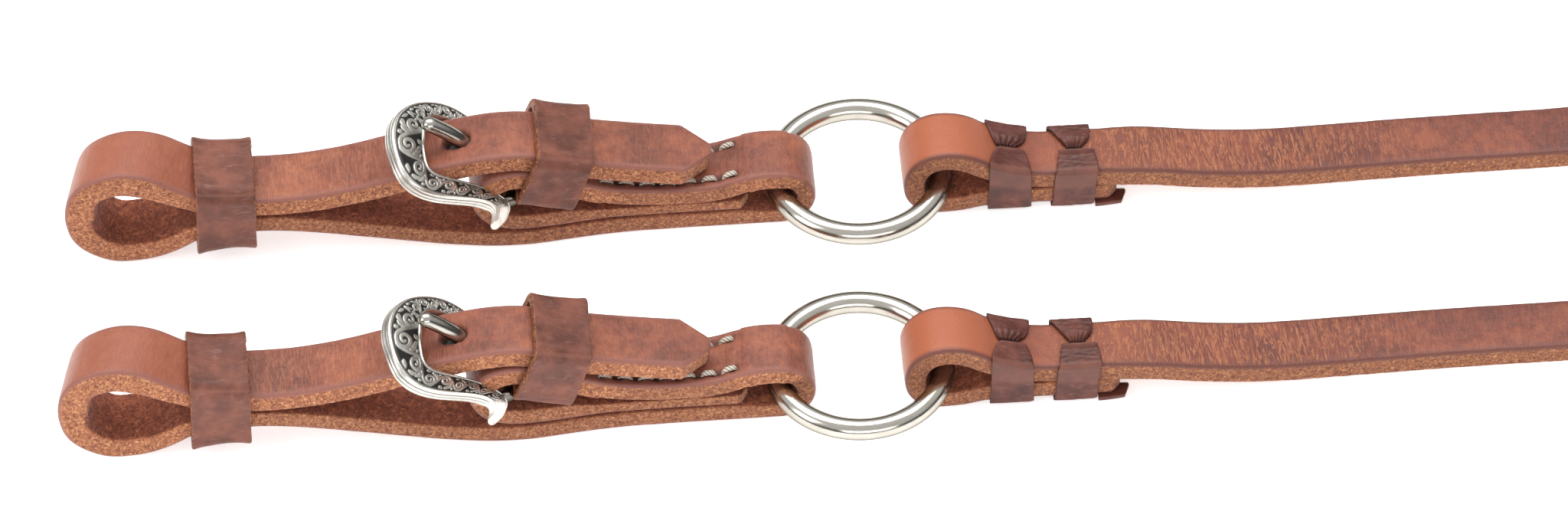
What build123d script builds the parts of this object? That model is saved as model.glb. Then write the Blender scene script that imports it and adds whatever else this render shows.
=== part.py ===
from build123d import *

import os
from math import asin, atan2, cos, degrees, radians, sin, sqrt, tan

# Pair of western split reins, lying on a flat surface with their bit ends buckled.
# Each rein runs along X: bit loop at -X, then buckle, ring and laced rein end, and the long
# rein strap towards +X, put away in an oval hank.  Millimetres, +Z up, surface at Z = 0.
# The origin is on that surface, in the middle of the far bit strap's flat underside.

# ---- leather -------------------------------------------------------------------------
STRAP_WIDTH = 12.7          # 1/2 in straps
STRAP_THICK = 4.76          # 3/16 in, 12 oz harness leather
SKIVE_THICK = 3.0           # the chape's lower ply, thinned where it is sewn
PLY_GAP = 0.1               # air between two plies that lie on each other
KEEPER_THICK = 2.3
KEEPER_SIDE_GAP = 0.35      # keeper to strap edge
LACE_THICK = 1.0
LACE_WIDTH = 9.2
LACE_GAP = 0.1
LACE_TAIL = 5.4             # the rear lace's loose end, past the lace
LACE_TAIL_WIDTH = 4.4

# ---- metal ---------------------------------------------------------------------------
RING_INSIDE = 31.75         # 1-1/4 in ring
RING_WIRE = 4.76            # 3/16 in wire
SWING_CLEAR = 0.1           # ring wire to leather, over the whole swing
BAR_DIAMETER = 3.4
BAR_CLEAR = 0.05            # running fit of tongue and frame on the bar
TONGUE_WALL = 1.8           # the eye round the bar
TONGUE_DIAMETER = 3.0
TONGUE_EYE_WIDTH = 3.4
TONGUE_PLAY = 0.5           # tongue to the billet's hole and the chape's slot
FRAME_THICK = 3.2
FRAME_INNER_HALF = 7.7      # half the opening at the nose
FRAME_ARM_GAP = 0.9         # strap edge to frame arm at the bar
FRAME_OUTER_HALF = 12.4     # half the widest part
FRAME_LENGTH = 32.4         # bar axis to the nose's outer edge
NOSE_WIDTH = 9.0
ARM_END_WIDTH = 2.9
EAR_WALL = 1.6              # metal round the bar in the frame's ears
FRAME_TILT = 36.0           # degrees, nose up
TONGUE_TILT = 46.5

# ---- places along the rein -----------------------------------------------------------
BIT_FOLD_X = 28.6           # axis of the ring in the bit strap's fold
BAR_X = -29.3
CHAPE_END_X = 21.8
LOOP_BACK_X = -125.0        # centreline of the bit loop's far wall
LOOP_HEIGHT = 28.3          # outside
KEEPER_X = -92.2
KEEPER_WIDTH = 13.0
KEEPER_INNER_HEIGHT = 15.7
BILLET_KEEPER_X = -19.6
BILLET_KEEPER_WIDTH = 11.4
BILLET_KEEPER_TILT = 22.0
BILLET_KEEPER_INNER = 12.4
BILLET_KEEPER_OVER_BAR = 6.65
KEEPER_NOTCH_CLEAR = 0.35   # keeper's corner to the tongue's eye and the frame's ears
BILLET_TIP_X = 13.8
LACE_X = (79.4, 94.2)       # middles of the two laces
REIN_TURN_BACK_X = 102.5    # end of the rein's turned-back ply
STITCH_PITCH = 4.5
STITCH_COUNT = 7
STITCH_FIRST_X = -9.2
STITCH_ROW_Y = 4.1
THREAD = 1.0
THREAD_SUNK = 0.15          # the thread pulled into the grain
STITCH_HOLE = 1.2           # from one stitch's end to the next one's start

# ---- the pair and the put-away length ------------------------------------------------
PAIR_SPACING = 56.1
PAIR_STAGGER = 4.5
HANK_Y = -25.4              # the hanks' middle line
HANK_LEFT_X = 288.0         # centres of the hanks' end turns
HANK_RIGHT_X = 406.0
HANK_OUTER = 46.0           # outermost centreline, from the middle line
HANK_INNER = 27.8
HANK_TIE_THICK = 1.2
HANK_PITCH = 5.2            # from one turn of the hank to the next
HANK_TIE_WIDTH = 9.0
HANK_GAP = 0.2              # air between the hanks, and from them to their ties
FLOOR_GAP = 0.06            # under the rein where it lies loose
STRAP_DRIFT_Y = 2.7         # the rein wanders this far sideways before it turns on its edge
TWIST_START_X = 205.0
TWIST_LENGTH = 57.0
TWIST_STATIONS = 10

HALF = STRAP_THICK / 2
WIRE_RADIUS = RING_WIRE / 2
RING_RADIUS = (RING_INSIDE + RING_WIRE) / 2
# The ring bows by this much across the strap's width, so its axis of swing lies between.
RING_BOW = RING_RADIUS - sqrt(RING_RADIUS**2 - (STRAP_WIDTH / 2) ** 2)
RING_SLANT = asin(STRAP_WIDTH / 2 / RING_RADIUS)
FOLD_INSIDE = WIRE_RADIUS / cos(RING_SLANT) + RING_BOW / 2 + SWING_CLEAR
RING_Z = STRAP_THICK + FOLD_INSIDE
RING_X = BIT_FOLD_X + RING_RADIUS - RING_BOW / 2
REIN_FOLD_X = BIT_FOLD_X + 2 * (RING_RADIUS - RING_BOW / 2)
EYE_RADIUS = BAR_DIAMETER / 2 + BAR_CLEAR + TONGUE_WALL
EAR_RADIUS = BAR_DIAMETER / 2 + EAR_WALL
CHAPE_INSIDE = 4.6
CHAPE_RADIUS = CHAPE_INSIDE + HALF
LOWER_PLY_Z = 1.5 * STRAP_THICK + PLY_GAP
BAR_Z = LOWER_PLY_Z + CHAPE_RADIUS
SKIVED_PLY_Z = STRAP_THICK + PLY_GAP + SKIVE_THICK - HALF
UPPER_PLY_Z = STRAP_THICK + PLY_GAP + SKIVE_THICK + PLY_GAP / 2 + HALF
BILLET_OVER_BAR_Z = BAR_Z + CHAPE_RADIUS + STRAP_THICK + 1.3
LACED_LOWER_Z = LACE_THICK + LACE_GAP + HALF
LACED_UPPER_Z = LACED_LOWER_Z + STRAP_THICK + PLY_GAP
OCTAGON = tan(radians(22.5))


def half_octagon(x, z, radius, side):
    """The four corners round a half turn about (x, z), from below to above; side is -1 or 1."""
    short = OCTAGON * radius
    return [
        (x + side * short, z - radius),
        (x + side * radius, z - short),
        (x + side * radius, z + short),
        (x + side * short, z + radius),
    ]


def corner_radii(points):
    """0.45 of the shorter run over the tangent of half the turn, for each corner."""
    radii = []
    for before, here, after in zip(points, points[1:], points[2:]):
        first, second = here - before, after - here
        turn = radians(first.get_angle(second))
        radii.append(0.45 * min(first.length, second.length) / tan(turn / 2))
    return radii


def strap(points, name=""):
    """A flat strap along a route of straight runs and tangent arcs."""
    route = [Vector(*p) if len(p) == 3 else Vector(p[0], 0, p[1]) for p in points]
    radii = corner_radii(route)
    path = FilletPolyline(*route, radius=radii)
    section = Plane(path @ 0, x_dir=(0, 1, 0), z_dir=path % 0) * Rectangle(STRAP_WIDTH, STRAP_THICK)
    solid = sweep(section, path=path)
    if name:
        print(name, "radii", [round(r, 1) for r in radii], "length", round(path.length, 1),
              "volume", round(solid.volume, 1), "section x length",
              round(path.length * STRAP_WIDTH * STRAP_THICK, 1))
    return solid


def block(x, y, z):
    """A box between the low and high values of each axis."""
    size = [b - a for a, b in (x, y, z)]
    middle = [(a + b) / 2 for a, b in (x, y, z)]
    return Pos(*middle) * Box(*size)


def side_prism(outline, half_width):
    """An outline in X and Z, stretched to both sides of the strap's middle line."""
    face = make_face(Polyline(*[(x, 0, z) for x, z in outline], close=True))
    return extrude(face, amount=half_width, dir=(0, 1, 0), both=True)


# ---- bit strap: chape, ring fold, bit loop and billet in one strap -------------------
CHAPE_ROUTE = [
    (CHAPE_END_X, SKIVED_PLY_Z),
    (-7, SKIVED_PLY_Z),
    (-20, LOWER_PLY_Z),
    *half_octagon(BAR_X, BAR_Z, CHAPE_RADIUS, -1),
    (BAR_X + 4.3, BAR_Z + CHAPE_RADIUS - 0.1),
    (BAR_X + 13.8, UPPER_PLY_Z + 5.3),
    (-7, UPPER_PLY_Z + 1.3),
    (4, UPPER_PLY_Z),
    (9.5, UPPER_PLY_Z + 0.1),
]
RING_FOLD_ROUTE = [
    (9.5, UPPER_PLY_Z + 0.1),
    (15, UPPER_PLY_Z + 0.2),
    (BIT_FOLD_X - 6.5, RING_Z + FOLD_INSIDE + HALF - 0.1),
    *half_octagon(BIT_FOLD_X, RING_Z, FOLD_INSIDE + HALF, 1)[::-1],
]
LOOP_ROUTE = [
    (-42, HALF),
    (-56, HALF + 2.7),
    (-73, HALF + 6.6),
    (-84.5, HALF + 8.2),
    (-97.6, HALF + 7.2),
    (-104.5, HALF + 2.0),
    (-111, HALF),
    (LOOP_BACK_X + 7.5, HALF + 0.05),
    (LOOP_BACK_X + 0.4, HALF + 6.1),
    (LOOP_BACK_X, LOOP_HEIGHT - HALF - 4.6),
    (LOOP_BACK_X + 6.5, LOOP_HEIGHT - HALF + 0.2),
    (LOOP_BACK_X + 14.5, LOOP_HEIGHT - HALF - 0.1),
    (-102.6, HALF + 17.7),
    (-96, HALF + 14.7),
    (-85, HALF + 13.4),
]
BILLET_ROUTE = [
    (-73, HALF + 13.8),
    (-60, BILLET_OVER_BAR_Z - 8.5),
    (-44, BILLET_OVER_BAR_Z - 3.0),
    (-33, BILLET_OVER_BAR_Z + 0.1),
    (-25.5, BILLET_OVER_BAR_Z - 0.2),
    (-13, BILLET_OVER_BAR_Z - 5.8),
    (0, BILLET_OVER_BAR_Z - 9.0),
    (BILLET_TIP_X, BILLET_OVER_BAR_Z - 11.3),
]


def tongue_rod(diameter, start, end):
    """A round bar along the tongue's slope, from start to end millimetres off the bar's axis."""
    direction = (-cos(radians(TONGUE_TILT)), 0, sin(radians(TONGUE_TILT)))
    plane = Plane((BAR_X, 0, BAR_Z), z_dir=direction)
    return plane * Pos(0, 0, (start + end) / 2) * Cylinder(diameter / 2, end - start)


def billet_point():
    """What is cut from both edges of the billet's end to make its blunt point."""
    low, high = BILLET_OVER_BAR_Z - 16, BILLET_OVER_BAR_Z - 5
    shoulder, blunt = BILLET_TIP_X - 6.3, 1.2
    cuts = []
    for side in (-1, 1):
        outline = [
            (shoulder, side * STRAP_WIDTH / 2),
            (BILLET_TIP_X, side * blunt),
            (BILLET_TIP_X + 3, side * blunt),
            (BILLET_TIP_X + 3, side * STRAP_WIDTH),
            (shoulder, side * STRAP_WIDTH),
        ]
        face = make_face(Polyline(*[(x, y, low) for x, y in outline], close=True))
        cuts.append(extrude(face, amount=high - low, dir=(0, 0, 1)))
    return cuts[0] + cuts[1]


def bit_strap():
    chape = strap(CHAPE_ROUTE, "chape")
    chape -= block((-20, CHAPE_END_X + 1), (-STRAP_WIDTH, STRAP_WIDTH), (0, STRAP_THICK + PLY_GAP))
    rest = strap([*RING_FOLD_ROUTE, *LOOP_ROUTE, *BILLET_ROUTE], "bit strap")
    half_slot = TONGUE_DIAMETER / 2 + TONGUE_PLAY
    slot_top = BAR_Z + CHAPE_RADIUS + HALF + 0.1
    slot = block((BAR_X - 12, BAR_X + 2), (-half_slot, half_slot), (BAR_Z - 2, slot_top))
    hole = tongue_rod(TONGUE_DIAMETER + 2 * TONGUE_PLAY, 8, 30)
    return chape + rest - slot - hole - billet_point()


# ---- keepers -------------------------------------------------------------------------
def keeper_band(width, inner_height):
    """A leather band round the strap, along X, centred on the origin."""
    inner_width = STRAP_WIDTH + 2 * KEEPER_SIDE_GAP
    outside = Box(width, inner_width + 2 * KEEPER_THICK, inner_height + 2 * KEEPER_THICK)
    outside = fillet(outside.edges().filter_by(Axis.X), KEEPER_THICK)
    return outside - Box(width, inner_width, inner_height)


def bit_keeper():
    middle = HALF + 10.9
    return Pos(KEEPER_X, 0, middle) * keeper_band(KEEPER_WIDTH, KEEPER_INNER_HEIGHT)


def billet_keeper():
    middle = BAR_Z + BILLET_KEEPER_OVER_BAR
    band = keeper_band(BILLET_KEEPER_WIDTH, BILLET_KEEPER_INNER)
    placed = Pos(BILLET_KEEPER_X, 0, middle) * Rot(0, BILLET_KEEPER_TILT, 0) * band
    notch = Pos(BAR_X, 0, BAR_Z) * Rot(90, 0, 0) * Cylinder(
        max(EYE_RADIUS, EAR_RADIUS) + KEEPER_NOTCH_CLEAR, 3 * STRAP_WIDTH)
    return placed - notch


# ---- buckle --------------------------------------------------------------------------
def frame_plane():
    """X along the frame from the bar to the nose, Y across the strap, Z out of the grain side."""
    along = (-cos(radians(FRAME_TILT)), 0, sin(radians(FRAME_TILT)))
    return Plane((BAR_X, 0, BAR_Z), x_dir=along, z_dir=(sin(radians(FRAME_TILT)), 0, cos(radians(FRAME_TILT))))


def buckle_frame():
    arm_inner = STRAP_WIDTH / 2 + FRAME_ARM_GAP
    arm_outer = arm_inner + ARM_END_WIDTH
    nose_inner = FRAME_LENGTH - NOSE_WIDTH
    corner = 1.6
    outer = [
        Line((-1.8, -arm_outer), (2, -arm_outer)),
        ThreePointArc((2, -arm_outer), (12, -FRAME_OUTER_HALF + 0.7), (19, -FRAME_OUTER_HALF)),
        ThreePointArc((19, -FRAME_OUTER_HALF), (FRAME_LENGTH, 0), (19, FRAME_OUTER_HALF)),
        ThreePointArc((19, FRAME_OUTER_HALF), (12, FRAME_OUTER_HALF - 0.7), (2, arm_outer)),
        Line((2, arm_outer), (-1.8, arm_outer)),
    ]
    inner = [
        Line((-1.8, arm_outer), (-1.8, arm_inner)),
        Line((-1.8, arm_inner), (nose_inner - corner, FRAME_INNER_HALF)),
        Line((nose_inner - corner, FRAME_INNER_HALF), (nose_inner, FRAME_INNER_HALF - corner)),
        Line((nose_inner, FRAME_INNER_HALF - corner), (nose_inner, corner - FRAME_INNER_HALF)),
        Line((nose_inner, corner - FRAME_INNER_HALF), (nose_inner - corner, -FRAME_INNER_HALF)),
        Line((nose_inner - corner, -FRAME_INNER_HALF), (-1.8, -arm_inner)),
        Line((-1.8, -arm_inner), (-1.8, -arm_outer)),
    ]
    plate = extrude(make_face(Wire(outer + inner)), amount=FRAME_THICK / 2, both=True)
    solid = frame_plane() * plate
    for side in (-1, 1):
        middle = side * (arm_inner + arm_outer) / 2
        ear = Pos(BAR_X, middle, BAR_Z) * Rot(90, 0, 0) * Cylinder(EAR_RADIUS, ARM_END_WIDTH)
        horn = side_prism(
            [(BAR_X - 0.5, BAR_Z + 1.5), (BAR_X + 3.0, BAR_Z), (BAR_X + 0.4, BAR_Z - 5.4),
             (BAR_X - 2.6, BAR_Z - 6.2), (BAR_X - 2.4, BAR_Z - 3.0)],
            ARM_END_WIDTH / 2)
        solid = solid + ear + Pos(0, middle, 0) * horn
    bore = Pos(BAR_X, 0, BAR_Z) * Rot(90, 0, 0) * Cylinder(BAR_DIAMETER / 2 + BAR_CLEAR, 4 * STRAP_WIDTH)
    return solid - bore


def buckle_bar():
    length = STRAP_WIDTH + 2 * (FRAME_ARM_GAP + ARM_END_WIDTH) + 0.6
    bar = Pos(BAR_X, 0, BAR_Z) * Rot(90, 0, 0) * Cylinder(BAR_DIAMETER / 2, length)
    return bar


def buckle_tongue():
    eye = Pos(BAR_X, 0, BAR_Z) * Rot(90, 0, 0) * Cylinder(EYE_RADIUS, TONGUE_EYE_WIDTH)
    rod = tongue_rod(TONGUE_DIAMETER, 0, FRAME_LENGTH - NOSE_WIDTH + 4.6)
    tip = fillet(rod.faces().sort_by(Axis.Z)[-1].edges(), TONGUE_DIAMETER / 2 - 0.1)
    bore = Pos(BAR_X, 0, BAR_Z) * Rot(90, 0, 0) * Cylinder(BAR_DIAMETER / 2 + BAR_CLEAR, STRAP_WIDTH)
    return eye + tip - bore


def height_at(route, x):
    """Height of a route's straight runs at one X, and their slope there in degrees."""
    for (x0, z0), (x1, z1) in zip(route, route[1:]):
        if min(x0, x1) <= x <= max(x0, x1):
            return z0 + (z1 - z0) * (x - x0) / (x1 - x0), degrees(atan2(z1 - z0, x1 - x0))
    raise ValueError(f"the route doesn't reach {x}")


def chape_stitching():
    """Two rows of thread on the upper ply, each stitch a round-ended length along X."""
    upper_ply = CHAPE_ROUTE[8:] + RING_FOLD_ROUTE[1:3]
    stitches = []
    for i in range(STITCH_COUNT):
        x = STITCH_FIRST_X + i * STITCH_PITCH
        middle, slope = height_at(upper_ply, x)
        for side in (-1, 1):
            thread = Rot(0, 90, 0) * Cylinder(THREAD / 2, STITCH_PITCH - STITCH_HOLE)
            thread = fillet(thread.edges(), THREAD / 2 - 0.05)
            top = middle + (HALF + THREAD / 2 - THREAD_SUNK) / cos(radians(slope))
            stitches.append(Pos(x, side * STITCH_ROW_Y, top) * Rot(0, -slope, 0) * thread)
    return Compound(stitches)


# ---- ring and rein -------------------------------------------------------------------
def ring():
    return Pos(RING_X, 0, RING_Z) * Torus(RING_RADIUS, WIRE_RADIUS)


SEAM_X = LACE_X[1]
REIN_FOLD_MIDDLE = (REIN_FOLD_X + 1.0, HALF + 7.0)
REIN_FOLD_ROUTE = [
    (REIN_TURN_BACK_X, LACED_LOWER_Z + 0.05),
    (88, LACED_LOWER_Z),
    (74, LACED_LOWER_Z + 0.1),
    (67, HALF),
    (REIN_FOLD_MIDDLE[0] - 4.0, HALF),
    (REIN_FOLD_MIDDLE[0] - 7.0, HALF + 3.4),
    (REIN_FOLD_MIDDLE[0] - 7.1, HALF + 9.6),
    (REIN_FOLD_MIDDLE[0] - 3.2, HALF + 14.0),
    (REIN_FOLD_MIDDLE[0] + 4.0, HALF + 13.9),
    (REIN_FOLD_MIDDLE[0] + 10.5, HALF + 10.0),
    (84, LACED_UPPER_Z + 0.6),
    (SEAM_X - 4, LACED_UPPER_Z),
    (SEAM_X, LACED_UPPER_Z),
]


def rein_end_loop():
    return strap(REIN_FOLD_ROUTE, "rein end loop")


def lace(x, tail=0.0):
    """A tight lace round both plies; tail is how far its loose end reaches out along X."""
    low = LACE_GAP / 2
    left, right = x - LACE_WIDTH / 2, x + LACE_WIDTH / 2
    upper_ply = REIN_FOLD_ROUTE[8:12] + [(right + LACE_WIDTH, LACED_UPPER_Z)]
    tops = []
    for end in (left, right):
        middle, slope = height_at(upper_ply, end)
        tops.append(middle + HALF / cos(radians(slope)) + LACE_GAP)
    inner_half = STRAP_WIDTH / 2 + LACE_GAP
    outer_half = inner_half + LACE_THICK
    inner = [(left, low + LACE_THICK), (right, low + LACE_THICK), (right, tops[1]), (left, tops[0])]
    outer = [(left, low), (right, low), (right, tops[1] + LACE_THICK), (left, tops[0] + LACE_THICK)]
    band = side_prism(outer, outer_half) - side_prism(inner, inner_half)
    if tail:
        band += block((right - 1, right + tail), (-outer_half, LACE_TAIL_WIDTH - outer_half),
                      (low, low + LACE_THICK))
    return band


# ---- the rein's long strap, put away in an oval hank ----------------------------------
FLAT_ROUTE = [
    (SEAM_X, 0, LACED_UPPER_Z),
    (107, 0, LACED_UPPER_Z),
    (120, 0.2, HALF + 3.2),
    (135, 0.9, HALF + 1.0),
    (152, 2.0, HALF + 0.25),
    (176, STRAP_DRIFT_Y, HALF + FLOOR_GAP),
    (TWIST_START_X, STRAP_DRIFT_Y, HALF + FLOOR_GAP),
]


def smooth(value, start, end):
    """0 before start, 1 after end, and an S between them."""
    share = min(max((value - start) / (end - start), 0), 1)
    return share * share * (3 - 2 * share)


def twist(shift, entry_y, lift):
    """The stretch that leaves the flat, turns on its edge and runs into its hank."""
    start = Vector(TWIST_START_X + shift[0], STRAP_DRIFT_Y + shift[1], 0)
    sections = []
    length = 0
    before = None
    for i in range(TWIST_STATIONS + 1):
        def place(x):
            turn = 90 * smooth(x, start.X, start.X + TWIST_LENGTH)
            y = start.Y + (entry_y - start.Y) * smooth(x, start.X, HANK_LEFT_X)
            edge = STRAP_WIDTH / 2 * sin(radians(turn)) + HALF * cos(radians(turn))
            rise = lift * smooth(x, start.X, start.X + TWIST_LENGTH)
            return Vector(x, y, FLOOR_GAP + edge + rise), turn
        x = start.X + (HANK_LEFT_X - start.X) * i / TWIST_STATIONS
        here, turn = place(x)
        ahead = Vector(1, 0, 0)
        if 0 < i < TWIST_STATIONS:
            ahead = (place(x + 0.5)[0] - place(x - 0.5)[0]).normalized()
        side = Vector(0, 0, 1).cross(ahead).normalized()
        up = ahead.cross(side)
        across = side * cos(radians(turn)) + up * sin(radians(turn))
        sections.append(Plane(here, x_dir=across, z_dir=ahead) * Rectangle(STRAP_WIDTH, STRAP_THICK))
        length += (here - before).length if before else 0
        before = here
    solid = loft(sections, ruled=True)
    print("twist length", round(length, 1), "volume", round(solid.volume, 1), "section x length",
          round(length * STRAP_WIDTH * STRAP_THICK, 1))
    return solid


def rein_strap(shift, side):
    flat = Pos(shift[0], shift[1], 0) * strap(FLAT_ROUTE, "rein strap")
    layer = 1 if side > 0 else 0
    lift = HANK_TIE_THICK + HANK_GAP / 2 + layer * (STRAP_WIDTH + HANK_GAP) - FLOOR_GAP
    return flat + twist(shift, HANK_Y + side * HANK_OUTER, lift)


def rein_hank(side):
    """The outer shape of the wound-up strap, on its edge, entered from +Y or -Y."""
    pitch = HANK_PITCH
    outer = HANK_OUTER + pitch / 2
    step = pitch / 2
    outline = [
        Line((HANK_LEFT_X, outer), (HANK_RIGHT_X, outer)),
        ThreePointArc((HANK_RIGHT_X, outer), (HANK_RIGHT_X + outer - step / 2, step / 2),
                      (HANK_RIGHT_X, step - outer)),
        Line((HANK_RIGHT_X, step - outer), (HANK_LEFT_X, step - outer)),
        ThreePointArc((HANK_LEFT_X, step - outer), (HANK_LEFT_X - outer + 1.5 * step, -step / 2),
                      (HANK_LEFT_X, outer - pitch)),
        Line((HANK_LEFT_X, outer - pitch), (HANK_LEFT_X, outer)),
    ]
    hole = HANK_INNER - pitch / 2
    solid = extrude(make_face(Wire(outline)), amount=STRAP_WIDTH)
    solid -= Pos((HANK_LEFT_X + HANK_RIGHT_X) / 2, 0, 0) * Box(
        HANK_RIGHT_X - HANK_LEFT_X, 2 * hole, 3 * STRAP_WIDTH)
    for x in (HANK_LEFT_X, HANK_RIGHT_X):
        solid -= Pos(x, 0, 0) * Cylinder(hole, 3 * STRAP_WIDTH)
    if side < 0:
        solid = mirror(solid, about=Plane.XZ)
    layer = 1 if side > 0 else 0
    low = HANK_TIE_THICK + HANK_GAP / 2 + layer * (STRAP_WIDTH + HANK_GAP)
    return Pos(0, HANK_Y, low) * solid


def hank_ties():
    """Two leather bands, each round one side of both hanks."""
    inner = (HANK_INNER - HANK_PITCH / 2 - HANK_GAP, HANK_OUTER + HANK_PITCH / 2 + HANK_GAP)
    top = HANK_TIE_THICK + 2 * STRAP_WIDTH + 2.5 * HANK_GAP
    middle_x = (HANK_LEFT_X + HANK_RIGHT_X) / 2
    length = (middle_x - HANK_TIE_WIDTH / 2, middle_x + HANK_TIE_WIDTH / 2)
    ties = []
    for side in (-1, 1):
        near, far = sorted(HANK_Y + side * y for y in inner)
        outside = block(length, (near - HANK_TIE_THICK, far + HANK_TIE_THICK), (0, top + HANK_TIE_THICK))
        ties.append(outside - block((length[0] - 1, length[1] + 1), (near, far), (HANK_TIE_THICK, top)))
    return Compound(ties)


# ---- both reins ----------------------------------------------------------------------
ONE_REIN = {
    "bit_strap": bit_strap,
    "bit_keeper": bit_keeper,
    "billet_keeper": billet_keeper,
    "buckle_frame": buckle_frame,
    "buckle_bar": buckle_bar,
    "buckle_tongue": buckle_tongue,
    "chape_stitching": chape_stitching,
    "ring": ring,
    "rein_end_loop": rein_end_loop,
    "lace_front": lambda: lace(LACE_X[0]),
    "lace_rear": lambda: lace(LACE_X[1], LACE_TAIL),
}


def write(name, solid):
    solid.label = name
    print(name, "volume", round(solid.volume, 1), "solids", len(solid.solids()), "valid", solid.is_valid)
    export_step(solid, f"parts/{name}.step")


if __name__ == "__main__":
    os.makedirs("parts", exist_ok=True)
    reins = {"far": ((0, 0), 1), "near": ((-PAIR_STAGGER, -PAIR_SPACING), -1)}
    for name, make in ONE_REIN.items():
        solid = make()
        for rein, (shift, side) in reins.items():
            write(f"{rein}_{name}", Pos(shift[0], shift[1], 0) * solid)
    for rein, (shift, side) in reins.items():
        write(f"{rein}_rein_strap", rein_strap(shift, side))
        write(f"{rein}_rein_hank", rein_hank(side))
    write("hank_ties", hank_ties())
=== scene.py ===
import bpy
import numpy as np
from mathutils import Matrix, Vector


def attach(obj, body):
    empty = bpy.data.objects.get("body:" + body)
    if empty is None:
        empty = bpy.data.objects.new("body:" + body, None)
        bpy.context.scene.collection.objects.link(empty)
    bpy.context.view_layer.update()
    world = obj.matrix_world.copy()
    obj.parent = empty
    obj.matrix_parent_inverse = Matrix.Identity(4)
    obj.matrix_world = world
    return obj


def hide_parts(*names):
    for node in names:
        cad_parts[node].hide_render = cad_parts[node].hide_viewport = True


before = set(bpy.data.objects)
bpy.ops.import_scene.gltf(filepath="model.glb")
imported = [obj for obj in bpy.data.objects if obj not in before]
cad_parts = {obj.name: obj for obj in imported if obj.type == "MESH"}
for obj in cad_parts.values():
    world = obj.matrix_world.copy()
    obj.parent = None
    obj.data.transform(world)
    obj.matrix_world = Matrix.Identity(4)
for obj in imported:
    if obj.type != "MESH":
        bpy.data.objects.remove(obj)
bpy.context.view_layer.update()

# Lengths are worked out in millimetres and handed to Blender in metres.
MM = 0.001
REINS = {"far": ((0.0, 0.0), 1), "near": ((-4.5, -56.1), -1)}
HALF_WIDTH, HALF_THICK = 6.35, 2.38     # 1/2 in by 3/16 in strap
RING_RADIUS, WIRE_RADIUS = 18.255, 2.38
RING_AT = np.array([46.285, 0.0, 7.969])
RING_AXIS = (28.6, 7.969)               # where the bit strap folds round the ring
BAR_AT = np.array([-29.3, 0.0, 14.22])
BAR_RADIUS = 1.7
STITCH_ROW, STITCH_PITCH = 4.1, 4.5     # each row's distance from the middle, and hole to hole
HANK_Y, HANK_LEFT, HANK_RIGHT = -25.4, 288.0, 406.0
HANK_RADIUS, HANK_TURN_STEP = 44.7, 2.6
TIE_X, TIE_OUT, TIE_MIDDLE = 347.0, 36.9, 14.15


# ---- numbers and meshes ---------------------------------------------------------------
def smooth(x, start, end):
    """0 before start, 1 after end, 3t^2 - 2t^3 between."""
    t = np.clip((np.asarray(x, float) - start) / (end - start), 0, 1)
    return t * t * (3 - 2 * t)


def ripple(u, v, size, seed):
    """Uneven waves from -1 to 1: twelve sines of about that length, each its own way and phase."""
    rng = np.random.default_rng(seed)
    total = 0
    for turn, phase, wave in zip(rng.uniform(0, np.pi, 12), rng.uniform(0, 2 * np.pi, 12),
                                 rng.uniform(0.6, 1.5, 12) * size):
        total = total + np.sin((u * np.cos(turn) + v * np.sin(turn)) * 2 * np.pi / wave + phase)
    return total / 5.0


def distance(line):
    """How far along a broken line each of its points is."""
    return np.r_[0, np.cumsum(np.linalg.norm(np.diff(line, axis=0), axis=1))]


def even(line, spacing):
    """Points the same distance apart along a broken line."""
    run = distance(line)
    at = np.linspace(0, run[-1], max(int(run[-1] / spacing), 2) + 1)
    return np.stack([np.interp(at, run, line[:, k]) for k in range(line.shape[1])], 1)


def eased(corners, spacing):
    """Each corner becomes a parabola that touches its two runs at their middles."""
    p = np.asarray(corners, float)
    middles = (p[1:-2] + p[2:-1]) / 2
    start, end = np.vstack([p[:1], middles]), np.vstack([middles, p[-1:]])
    t = np.linspace(0, 1, 32, endpoint=False)[None, :, None]
    line = (1 - t) ** 2 * start[:, None] + 2 * t * (1 - t) * p[1:-1, None] + t ** 2 * end[:, None]
    return even(np.vstack([line.reshape(-1, p.shape[1]), p[-1:]]), spacing)


def unit(v):
    """The same ways, each of length 1."""
    return v / np.linalg.norm(v, axis=-1, keepdims=True)


def tube(grid, u=None, v=None, ring=False, **values):
    """A skin whose rows run along a piece and whose columns close round its section."""
    rows, cols = grid.shape[:2]
    return {"grid": grid, "ring": ring, "values": values,
            "u": np.arange(rows + 1.0) if u is None else np.asarray(u, float),
            "v": np.arange(cols + 1.0) if v is None else np.asarray(v, float)}


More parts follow.
